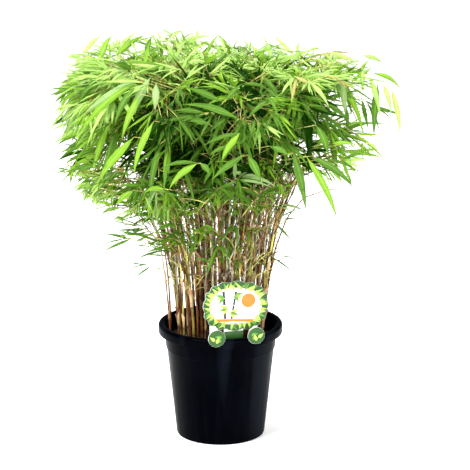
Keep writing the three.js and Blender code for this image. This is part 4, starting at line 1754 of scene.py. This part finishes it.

# More large leaves at the crown's left edge: root and tip, half width (millimetres), tint.
FRINGE_LEAVES = (
    (-88, -30, 243, -110, -36, 230, 1.6, FRESH),
    (-90, -26, 236, -114, -30, 224, 1.5, LIME),
    (-86, -34, 232, -110, -38, 218, 1.7, MID),
    (-92, -20, 230, -118, -22, 221, 1.4, FRESH),
    (-88, -28, 225, -113, -32, 212, 1.6, MID),
    (-90, -18, 220, -116, -20, 213, 1.4, LIME),
    (-84, -36, 217, -107, -42, 205, 1.5, FRESH),
    (-94, -10, 240, -120, -10, 231, 1.4, MID),
    (-92, -8, 227, -117, -6, 216, 1.5, MID),
    (-86, -14, 214, -111, -12, 204, 1.4, FRESH),
    (-84, -42, 224, -106, -50, 214, 1.6, MID),
    (-96, -4, 234, -121, -2, 226, 1.3, LIME),
)


@dataclass
class Spray:
    """A few leaves that share a twig's end: what one tint is dealt to."""

    root: Vector
    run: Vector
    keys: Keys
    size: float
    low: bool = False


@dataclass
class Foliage:
    """The twigs that branch from each cane inside the crown, and their sprays of leaves."""

    canes: list[Cane]
    crown: Crown
    label: PlantLabel
    nodes: int = 17
    thin_nodes: int = 8
    first_node: float = -0.1
    last_node: float = 0.99
    twigs_at_node: int = 2
    full_ends: float = 66 * MM
    twig_length: float = 44 * MM
    twig_spread: float = 0.95
    spread_jitter: float = 0.35
    twig_droop: float = 0.12
    twig_half: float = 0.34 * MM
    leaf_length: float = 38 * MM
    leaf_half: float = 2.1 * MM
    leaf_lean: float = 0.6
    leaf_gap: float = 2.4 * MM
    leaf_outward: float = 0.26
    large_share: float = 0.15
    large_gains: Colour = (3, 1.4, 0.4)
    outer_depth: float = 0.72
    leaf_jitter: Flat = (0.55, 1.15)
    bend_jitter: Flat = (0.3, 1.7)
    rolled_chance: float = 0.28
    rolled_width: float = 0.38
    bend: float = 0.5
    roll: float = 1.5
    fold_depth: float = 0.62
    reach: float = 0.985
    foot_height: float = 164 * MM
    foot_slope: float = 0.42
    foot_left: float = 0.4
    foot_right: float = 0.2
    thinning: float = 88 * MM
    thinnest: float = 0.04
    patch: float = 19 * MM
    patchiness: float = 1.6
    airy_left: float = 0.28
    airy_left_span: Flat = (-90 * MM, -46 * MM)
    airy_left_top: float = 224 * MM
    airy_top: float = 0.5
    airy_top_corner: Flat = (8 * MM, 278 * MM)
    left_foot_corner: Flat = (-48 * MM, 212 * MM)
    shade_patch: float = 24 * MM
    hollow_back: float = 25 * MM
    sight: Sight = Sight()
    mark_half: float = 0.58 * MM
    mark_front: int = -118
    mark_back: int = 6
    mark_root_depth: float = 0.87
    mark_tip_depth: float = 0.99
    mark_bend: Flat = (0.25, 0.8)
    mark_roll: float = 0.3
    mark_twig: Flat = (30 * MM, 14 * MM)
    end_twigs: int = 2
    twig_shares: Flat = (1.15, 0.45)
    end_share: float = 0.7
    twig_jitter: Flat = (0.7, 1.15)
    spray_leaves: int = 6
    ragged: float = 0.14
    least_run: float = 5 * MM
    side_length: float = 11 * MM
    side_leaves: int = 4
    side_size: float = 0.9
    side_wood: float = 0.7
    sag: float = 0.22
    patch_base: float = 0.9
    low_stubs: int = 6
    low_start: float = 0.16
    low_lengths: Flat = (17 * MM, 26 * MM)
    low_wood: float = 0.85
    leafy_height: float = 0.13
    leafy_least: float = 0.118
    leafy_base: float = 0.1
    leafy_gains: Flat = (32, 14)
    leafy_right: Flat = (0.012, 0.024)
    leafy_step: float = 0.15
    front_span: Flat = (-0.036, 0.008)
    front_back: float = 0.004
    pale_chance: float = 0.09
    straw_chance: float = 0.012
    lime_light: float = 0.66
    fresh_light: float = 0.38

    # The painted shade of the hollows between the boughs, as the camera sees them: sideways place, height
    # where the line of sight crosses the plant's middle, reach (millimetres) and weight.
    HOLLOWS = (
        (18, 252, 35, 0.95),
        (-42, 206, 26, 0.6),
        (52, 190, 22, 0.6),
        (-42, 235, 24, 0.45),
        (-16, 262, 26, 0.5),
        (-96, 208, 30, 0.4),
        (96, 239, 38, 0.9),
        (54, 261, 24, 0.6),
    )
    SIGHT_FALL = 0.2

    # What paints light and shade into a spray's tint: its depth in the crown, a base, its height, its way
    # aside, and chance.
    LIGHT = (1.6, -0.93, 0.2, 0.25, 0.42)

    # How light and how mixed the sprays on the low side twigs are.
    LOW_LIGHT = (0.36, 0.34)

    # The painted light that the crown's top adds to the right and to the left of a place across, and from
    # which share of the height up. The last is what the patches of painted light and shade add.
    TOP_LIGHT = (2.4, 1.9)
    TOP_PLACE = -12 * MM
    TOP_START = 0.55
    PATCH_LIGHT = 0.5

    # The shares of the height under which the hollows' painted shade counts, and under which painted light
    # makes the left side lighter; over the latter painted shade makes the right side darker, more so under a
    # third one.
    HOLLOWS_UNDER = 0.75
    LEFT_UNDER = 0.3
    RIGHT_UNDER = 0.7

    # Each tint's material slot, the third of the masses that it stands for, and its leaf's
    # colours: the green, the rib and the light that comes through.
    LOOKS = {
        Tint.LIME: ("leaf_lime", 2, (0.4, 0.63, 0.14), (0.72, 0.87, 0.38), (0.46, 0.8, 0.09)),
        Tint.FRESH: ("leaf_fresh", 0, (0.2, 0.41, 0.025), (0.5, 0.66, 0.14), (0.34, 0.62, 0.01)),
        Tint.MID: ("leaf_fresh", None, (0.08, 0.2, 0.016), (0.28, 0.42, 0.08), (0.16, 0.38, 0.015)),
        Tint.DEEP: ("leaf_deep", 1, (0.009, 0.045, 0.0015), (0.05, 0.14, 0.008), (0.02, 0.085, 0.001)),
        Tint.PALE: ("leaf_lime", None, (0.27, 0.42, 0.15), (0.5, 0.62, 0.3), (0.35, 0.5, 0.1)),
        Tint.STRAW: (None, None, (0.5, 0.42, 0.14), (0.6, 0.5, 0.26), (0.5, 0.4, 0.1)),
    }

    # Where the seeded numbers of the canes' tips, the side twigs and the low twigs start.
    TIP_KEY, SIDE_KEY, LOW_KEY = 997, 200, 400

    # What a twig is tried at until it fits: shares of its length. Then where its side twigs stand,
    # and how much they go ahead, aside and up or down.
    SHORTER = (1, 0.75, 0.5, 0.3)
    SIDE_SHARES = (0.25, 0.5, 0.75)
    SIDE_WAY = (0.75, 0.6, 0.35)

    # What a leaf is tried at until it fits: a share of its size, and how far it is pulled down.
    FITS = ((1, 0), (0.8, 0.12), (0.62, 0.25), (0.5, 0.7))

    # How much nearer than its root a marked leaf's tip is tried (millimetres).
    NEARER = (10, 6, 2, -3, -8, -14, -20, -30)

    # The way the photograph looks at the plant: its large leaves turn their faces to it.
    SEEN = Vector((0, 0.97, -0.26))

    # A blade's rows: shares of its length, and shares of its width there.
    STATIONS = (0.0, 0.05, 0.16, 0.32, 0.52, 0.72, 0.88, 1.0)
    SPREAD = (0.1, 0.14, 0.62, 1.0, 0.9, 0.58, 0.25, 0.0)

    def __post_init__(self) -> None:
        """Set out empty gathers for the twigs and for each tint of leaf."""
        self.twigs = Gather()
        self.leaves = {tint: [] for tint in Tint}

    def build(self) -> None:
        """Grow every cane's twigs and make the twigs and each tint of leaf."""
        for cane in self.canes:
            self._grow(cane)
        self._low_sprays()
        self._large_leaves()
        bark = TwigFinish("twig_bark", (0.72, 0.7, 0.22), (0.26, 0.14, 0.04))
        Bench.dress(self.twigs.piece("twigs"), bark.material(), "cane_olive")
        for tint, (slot, third, *colours) in self.LOOKS.items():
            nodes = [f"leaves_{cane.tag}" for cane in self.canes if cane.main and cane.order % 3 == third]
            Bench.dress(self._blades(tint), LeafFinish(tint, *colours).material(), slot, nodes)

    def _grow(self, cane: Cane) -> None:
        """Grow one cane's twigs: each turns a golden angle on from the last, and sags.

        Args:
            cane: The cane.
        """
        start = ROUND * chance(cane.tier_number, cane.number, 8)
        nodes = self.nodes if cane.main else self.thin_nodes
        for node in range(nodes):
            step = lerp(self.first_node, self.last_node, node / (nodes - 1))
            share = lerp(cane.tier.mouth, 1, step)
            root, run, side, face = cane.stance(share)
            end = abs(root.x) > self.full_ends
            for twin in range(self.twigs_at_node + (self.end_twigs if end else 0)):
                keys = (cane.order, node * 7 + twin)
                turn = (node * self.twigs_at_node + twin) * GOLDEN_TURN + start
                spread = self.twig_spread + self.spread_jitter * swing(*keys, 1)
                direction = leaning(run, leaning(side, face, turn), spread)
                direction.z -= self.twig_droop
                longest, shortest = self.twig_shares
                length = self.twig_length * lerp(longest, self.end_share if end else shortest, max(step, 0))
                length *= lerp(*self.twig_jitter, chance(*keys, 2))
                self._add_twig(root, unit(direction), length, keys)
        self._add_spray(Spray(cane.point(1), cane.run(1), (cane.order, self.TIP_KEY), 1), self.spray_leaves)

    def _add_twig(self, root: Vector, direction: Vector, length: float, keys: Keys) -> None:
        """Add one twig that sags, with a spray at its end and on each of its side twigs.

        Args:
            root: Where it leaves its cane.
            direction: The way it sets out.
            length: Its length.
            keys: The keys of its seeded numbers.
        """
        reach = self.reach - self.ragged * chance(*keys, 18) ** 2
        for shorter in self.SHORTER:
            points = self._sagging(root, direction, length * shorter)
            if self.crown.depth(*points[-1]) < reach:
                break
        else:
            return
        if not self._kept(points[-1], keys):
            return
        self._add_stick(points, self.twig_half)
        self._add_spray(self._end_spray(points, keys, 1), self.spray_leaves)
        side, face = square_to(direction)
        ahead, aside, turned = self.SIDE_WAY
        for n, share in enumerate(self.SIDE_SHARES):
            if length * shorter * (1 - share) < self.least_run:
                continue
            hand = 1 if (n + keys[1]) % 2 else -1
            start = points[0].lerp(points[-1], share)
            start = min(points, key=lambda point: (point - start).length)
            way = direction * ahead + side * (hand * aside)
            way += face * (turned * swing(keys[0], keys[1] + n, 3))
            reach = self.side_length * (0.7 + 0.7 * chance(keys[0], keys[1] + n, 4))
            twiglet = self._sagging(start, unit(way), reach)
            own = (keys[0], keys[1] * 5 + n + self.SIDE_KEY)
            if self.crown.depth(*twiglet[-1]) < self.reach and self._kept(twiglet[-1], own):
                self._add_stick(twiglet, self.twig_half * self.side_wood)
                self._add_spray(self._end_spray(twiglet, own, self.side_size), self.side_leaves)

    @staticmethod
    def _end_spray(points: Sequence[Vector], keys: Keys, size: float, low: bool = False) -> Spray:
        """Give the spray at the end of a twig."""
        return Spray(points[-1], unit(points[-1] - points[-2]), keys, size, low)

    def _kept(self, place: Vector, keys: Keys) -> bool:
        """Tell whether a spray grows at a place: the crown thins out towards its foot.

        Args:
            place: The spray's root.
            keys: The keys of its seeded numbers.

        Returns:
            Whether it grows.
        """
        out = math.hypot(place.x, place.y)
        foot = self.foot_height + self.foot_slope * max(out - 0.03, 0)
        foot += self.foot_left * min(place.x, 0) + self.foot_right * max(place.x, 0)
        share = min((place.z - foot) / self.thinning, 1)
        left, right = self.airy_left_span
        side, over = self.airy_top_corner
        if left < place.x < right and place.z < self.airy_left_top:
            share *= self.airy_left
        elif place.x > side and place.z > over:
            share *= self.airy_top
        patch = self.patch_base + self.patchiness * noise.noise(place / self.patch)
        return chance(*keys, 17) < max(share, self.thinnest) * patch

    def _sagging(self, root: Vector, direction: Vector, length: float) -> list[Vector]:
        """Give five points along a line that sags under its leaves.

        Args:
            root: Where it starts.
            direction: The way it sets out.
            length: Its length.

        Returns:
            The points.
        """
        points = []
        for k in range(5):
            share = k / 4
            sag = Vector((0, 0, -self.sag * length * share * share))
            points.append(root + direction * (length * share) + sag)
        return points

    def _add_stick(self, points: Sequence[Vector], half: float) -> None:
        """Add the wood of one twig, thinner towards its end."""
        halves = [half * lerp(1, 0.6, k / (len(points) - 1)) for k in range(len(points))]
        add_limb(self.twigs, points, halves, 4)

    def _darkness(self, place: Vector) -> float:
        """Say how much painted shade darkens the sprays of a place, for the hollows the photograph shows."""
        if place.y > self.hollow_back:
            return 0.0
        seen = place.z + self.SIGHT_FALL * place.y
        return sum(
            weight * max(1 - math.hypot(place.x - x * MM, 1.5 * (seen - z * MM)) / (reach * MM), 0)
            for x, z, reach, weight in self.HOLLOWS
        )

    def _lightness(self, spray: Spray) -> float:
        """Say how light a spray's tint is, which paints light and shade: lighter outside and on top, darker
        within and in the hollows.

        Args:
            spray: The spray.

        Returns:
            The lightness: the deep tint lies under 0, the lightest over two thirds.
        """
        if spray.low:
            return self.LOW_LIGHT[0] + self.LOW_LIGHT[1] * swing(*spray.keys, 5)
        x, _, z = spray.root
        by_depth, base, by_height, by_side, by_chance = self.LIGHT
        deep = self.crown.depth(*spray.root)
        height = (z - self.crown.middle) / self.crown.rise
        aside = abs(x) / self.crown.half_width
        light = by_depth * deep + base + by_height * height + by_side * aside * aside
        light += by_chance * swing(*spray.keys, 5)
        top = self.TOP_LIGHT[0 if x > self.TOP_PLACE else 1] * max(height - self.TOP_START, 0)
        light += top + self.PATCH_LIGHT * noise.noise(spray.root / self.shade_patch)
        if height < self.HOLLOWS_UNDER:
            light -= self._darkness(spray.root)
        elif deep > 0.5:
            light = max(light, 0.2)
        left, right = -x / (30 * MM) - 1.6, x / (60 * MM) - 0.75
        if height < self.LEFT_UNDER:
            light += 0.1 + 0.07 * min(max(left, -0.5), 1)
        else:
            light -= (0.5 if height < self.RIGHT_UNDER else 0.1) * max(right, 0)
        return max(light, 0.02) if x > 62 * MM and deep > 0.45 else light

    def _deal(self, spray: Spray) -> Tint:
        """Choose the tint of a spray by its lightness, with a few straw and pale ones among them.

        Args:
            spray: The spray.

        Returns:
            Its tint.
        """
        light = self._lightness(spray)
        odd = chance(*spray.keys, 6)
        if odd < self.straw_chance:
            return Tint.STRAW
        if odd < self.pale_chance and light > 0.3:
            return Tint.PALE
        if light > self.lime_light:
            return Tint.LIME
        if light > self.fresh_light:
            return Tint.FRESH
        return Tint.MID if light > 0 else Tint.DEEP

    def _add_spray(self, spray: Spray, count: int) -> None:
        """Fan a few leaves out from a twig's end, each bending down to its tip.

        Args:
            spray: Where the leaves grow.
            count: How many leaves.
        """
        tint = self._deal(spray)
        a, b = spray.keys
        outer = self.crown.depth(*spray.root) > self.outer_depth
        side, under = self.left_foot_corner
        left_foot = spray.root.x < side and spray.root.z < under
        foot_gain, outer_gain, inner_gain = self.large_gains
        share = self.large_share * (foot_gain if left_foot else outer_gain if outer else inner_gain)
        large = not spray.low and chance(a, b, 23) < share
        if large and tint is Tint.PALE:
            tint = Tint.FRESH
        size, hang = (1.12, 0.36) if large else (1 if spray.low else 0.68, 0.1)
        level, steep = square_to(spray.run)
        tilt = 0.9 * swing(a, b, 19)
        side = leaning(level, steep, tilt)
        face = steep * math.cos(tilt) - level * math.sin(tilt)
        outward = Vector((spray.root.x, spray.root.y, 0))
        pull = self.leaf_outward + (0.2 if spray.root.x < -30 * MM else 0)
        outward = outward * (pull / max(outward.length, 30 * MM))
        for n in range(count - 2 if large else count + 1):
            key = b * 11 + n
            lean = 0.4 * swing(a, key, 7)
            if n:
                lean += self.leaf_lean * (1 if n % 2 else -1)
            way = leaning(spray.run, side, lean) + outward
            way += face * (0.62 * swing(a, key, 8))
            way.z -= hang
            length = self.leaf_length * size * spray.size * lerp(*self.leaf_jitter, chance(a, key, 9))
            root = spray.root - spray.run * (0.4 * MM + self.leaf_gap * size * n)
            bend = self.bend * lerp(*self.bend_jitter, chance(a, key, 10) ** 1.5)
            fit = self._fitted(root, unit(way), length, bend, spray.low)
            if fit is not None:
                way, length = fit
                half = self.leaf_half * (length / self.leaf_length) ** 0.95
                rolls = chance(a, key, 12) < self.rolled_chance and not left_foot
                rolled = self.rolled_width if rolls else 1
                roll = self.roll * swing(a, key, 11)
                self.leaves[tint].append((root, way, length, bend, roll, half * rolled))

    def _fitted(
        self, root: Vector, way: Vector, length: float, bend: float, low: bool
    ) -> tuple[Vector, float] | None:
        """Shorten or turn a leaf until it stays in the crown, or leave it out.

        Args:
            root: The leaf's root.
            way: The way it sets out.
            length: Its length.
            bend: How far it bends down, in radians.
            low: Whether it may hang under the crown.

        Returns:
            The way and the length that fit, or None.
        """
        for size, drop in self.FITS:
            turned = unit(way - Vector((0, 0, drop)))
            places = [self._bent(root, turned, length * size, bend, share) for share in (0.5, 1)]
            clear = not any(self.label.blocks(place) for place in places)
            inside = all(self.crown.depth(*place) < 1 for place in places)
            if clear if low else inside:
                return turned, length * size
        return None

    @staticmethod
    def _bent(root: Vector, way: Vector, length: float, bend: float, share: float) -> Vector:
        """Give the place at a share of a leaf that bends down evenly.

        Args:
            root: The leaf's root.
            way: The way it sets out.
            length: Its length.
            bend: How far it bends down, in radians.
            share: The share of its length.

        Returns:
            The place.
        """
        down = Vector((0, 0, -1)) + way * way.z
        down = down.normalized() if down.length > 1e-3 else Vector((1, 0, 0))
        angle = bend * share
        return root + (way * math.sin(angle) + down * (1 - math.cos(angle))) * (length / bend)

    def _blades(self, tint: Tint) -> Thing:
        """Make all the leaves of one tint: each a folded blade in a few faces.

        Args:
            tint: The tint.

        Returns:
            The piece.
        """
        rows = self.leaves[tint]
        root, way = (rows_of(row[k] for row in rows) for k in (0, 1))
        length, bend, roll, widest = (np.array([row[k] for row in rows])[:, None] for k in (2, 3, 4, 5))
        down = np.array([0, 0, -1.0]) + way * way[:, 2:]
        down /= np.linalg.norm(down, axis=1)[:, None] + 1e-9
        level = np.cross(way, down)
        columns = []
        for share, spread in zip(self.STATIONS, self.SPREAD):
            angle = bend * share
            middle = root + (way * np.sin(angle) + down * (1 - np.cos(angle))) * (length / bend)
            tangent = way * np.cos(angle) + down * np.sin(angle)
            normal = np.cross(level, tangent)
            turn = roll * (0.4 + 0.6 * share)
            side = level * np.cos(turn) + normal * np.sin(turn)
            fold = np.cross(side, tangent)
            half = widest * spread
            if spread == 0:
                columns.append(middle[:, None])
            else:
                edge = fold * (self.fold_depth * half)
                left, right = middle - side * half + edge, middle + side * half + edge
                columns.append(np.stack([left, middle, right], 1))
        places = np.concatenate(columns, 1)
        per_leaf = places.shape[1]
        starts = (np.arange(len(rows)) * per_leaf)[:, None, None]
        last = 3 * (len(self.STATIONS) - 2)
        corners = [row + k for row in range(0, last, 3) for k in (0, 1)]
        quads = [(corner, corner + 1, corner + 4, corner + 3) for corner in corners]
        tips = [(last, last + 1, last + 3), (last + 1, last + 2, last + 3)]
        blade = [(x, share) for share in self.STATIONS[:-1] for x in (0, 0.5, 1)] + [(0.5, 1)]
        gather = Gather()
        gather.add(
            places.reshape(-1, 3),
            (np.array(quads)[None] + starts).reshape(-1, 4),
            (np.array(tips)[None] + starts).reshape(-1, 3),
            np.tile(np.array(blade), (len(rows), 1)),
        )
        log.info("%s leaves: %d", tint.value, len(rows))
        return gather.piece(f"leaves_{tint.value}")

    def _seen_ends(self, root_pixel: Flat, tip_pixel: Flat) -> tuple[Vector, Vector]:
        """Find a marked leaf's ends: its root well inside the crown, its tip just inside it.

        Args:
            root_pixel: Where the photograph shows its root.
            tip_pixel: Where the photograph shows its tip.

        Returns:
            The root and the tip.
        """
        steps = range(self.mark_front, self.mark_back + 1)
        crossed = [self.sight.shown(*root_pixel, back * MM) for back in steps]
        inside = [place for place in crossed if self.crown.depth(*place) < self.mark_root_depth]
        root = inside[0] if inside else min(crossed, key=lambda place: self.crown.depth(*place))
        for nearer in self.NEARER:
            tip = self.sight.shown(*tip_pixel, max(root.y - nearer * MM, self.mark_front * MM))
            if self.crown.depth(*tip) < self.mark_tip_depth:
                break
        return root, tip

    def _large_leaves(self) -> None:
        """Hang the large leaves of the photograph, each on a short twig from within the crown."""
        rows = []
        for *pixels, broad, tint in LEAF_MARKS:
            rows.append((*self._seen_ends(pixels[:2], pixels[2:]), broad * self.mark_half, tint))
        for *places, half, tint in FRINGE_LEAVES:
            rows.append((Vector(places[:3]) * MM, Vector(places[3:]) * MM, half * MM, tint))
        for n, (root, tip, half, tint) in enumerate(rows):
            chord = tip - root
            bend = lerp(*self.mark_bend, chance(n, 91))
            way = unit(chord)
            up = Vector((0, 0, 1)) - way * way.z
            up = unit(up) if up.length > 0.2 else unit(Vector((root.x, root.y, 0)))
            way = leaning(way, up, bend / 2)
            length = chord.length * (bend / 2) / math.sin(bend / 2)
            down = unit(Vector((0, 0, -1)) + way * way.z)
            level = way.cross(down)
            toward = level.cross(unit(chord))
            roll = self.mark_roll * swing(n, 92) - math.atan(level.dot(self.SEEN) / toward.dot(self.SEEN))
            self.leaves[tint].append((root, way, length, bend, roll / 0.7, half))
            inward = unit(Vector((-root.x, -root.y, -30 * MM)))
            points = [root + inward * back for back in self.mark_twig]
            self._add_stick([*points, root], self.twig_half)

    def _low_sprays(self) -> None:
        """Add the bare stubs and the small leafy side twigs that leave the canes under the crown."""
        bare_length, leafy_length = self.low_lengths
        left, right = self.front_span
        for cane in self.canes:
            for n in range(self.low_stubs):
                keys = (cane.order, self.LOW_KEY + n)
                step = (n + 0.7 * chance(*keys, 1)) / self.low_stubs
                share = lerp(self.low_start, cane.tier.mouth - 0.02, step)
                root, run, side, face = cane.stance(share)
                front = left < root.x < right and root.y < self.front_back
                gain = self.leafy_gains[0 if front else 1] * max(root.z - self.leafy_height, 0)
                leafy = chance(*keys, 5) < self.leafy_base + gain
                edge = self.leafy_right[0 if root.z < self.leafy_step else 1]
                leafy = leafy and root.z > self.leafy_least and root.x < edge
                turn = ROUND * chance(*keys, 2)
                aside = leaning(side, face, turn)
                if leafy:
                    aside = unit(aside * 0.8 + unit(Vector((root.x, root.y, 0))))
                spread = 0.75 + 0.25 * swing(*keys, 3)
                direction = unit(leaning(run, aside, spread))
                length = (leafy_length if leafy else bare_length) * (0.6 + 0.9 * chance(*keys, 4))
                points = self._sagging(root, direction, length)
                if any(self.label.blocks(point) for point in points):
                    continue
                self._add_stick(points, self.twig_half * self.low_wood)
                if leafy:
                    end = self._end_spray(points, keys, 0.54, True)
                    self._add_spray(end, 3)
                    self._add_spray(Spray(points[2], end.run, (keys[0], keys[1] + 50), 0.38, True), 1)


@dataclass
class Studio:
    """A pale floor, soft lights and the camera at the photograph's angle."""

    sight: Sight = Sight()
    floor_half: float = 9
    lights: tuple = (
        ("key", (-1.3, -1.2, 2.0), 1.0, 92),
        ("fill", (0.9, -1.9, 0.5), 1.0, 40),
        ("top", (0.1, 0.4, 2.4), 1.6, 92),
    )
    sky: float = 0.18

    def build(self) -> None:
        """Set up the floor, the lights, the surroundings and the camera."""
        Bench.clear()
        bpy.ops.mesh.primitive_plane_add(size=2 * self.floor_half)
        floor = Bench.name("pale_floor")
        floor.data.materials.append(FloorFinish().material())
        for name, place, size, power in self.lights:
            light = bpy.data.lights.new(name, "AREA")
            light.shape = "DISK"
            light.size = size
            light.energy = power
            lamp = bpy.data.objects.new(name, light)
            lamp.location = place
            aim = Vector((0, 0, 0.16)) - Vector(place)
            lamp.rotation_euler = aim.to_track_quat("-Z", "Y").to_euler()
            bpy.context.scene.collection.objects.link(lamp)
        world = bpy.data.worlds.new("white_room")
        world.use_nodes = True
        room = world.node_tree.nodes["Background"]
        room.inputs["Color"].default_value = (1, 1, 1, 1)
        room.inputs["Strength"].default_value = self.sky
        bpy.context.scene.world = world
        bpy.context.scene.view_settings.view_transform = "Standard"
        view = bpy.data.cameras.new("camera")
        view.lens = self.sight.lens
        view.sensor_width = self.sight.sensor
        view.clip_start, view.clip_end = 0.05, 60
        camera = bpy.data.objects.new("camera", view)
        camera.location = self.sight.place
        camera.rotation_euler = (math.pi / 2 - self.sight.pitch, 0, 0)
        bpy.context.scene.collection.objects.link(camera)
        bpy.context.scene.camera = camera


def write_size() -> None:
    """Bring the view layer up to date.
    """
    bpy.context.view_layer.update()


def main() -> None:
    """Load the frame and build the pot, the compost, the label, the canes, the foliage and the studio."""
    logging.basicConfig(level=logging.INFO, format="%(message)s")
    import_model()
    pot = NurseryPot()
    pot.build()
    Compost(pot).build()
    label = PlantLabel()
    label.build()
    clump = Clump()
    canes = clump.canes()
    canes += clump.companions(canes)
    CaneWork(canes, label).build()
    Foliage(canes, Crown(), label).build()
    Studio().build()
    write_size()


if __name__ == "__main__":
    main()
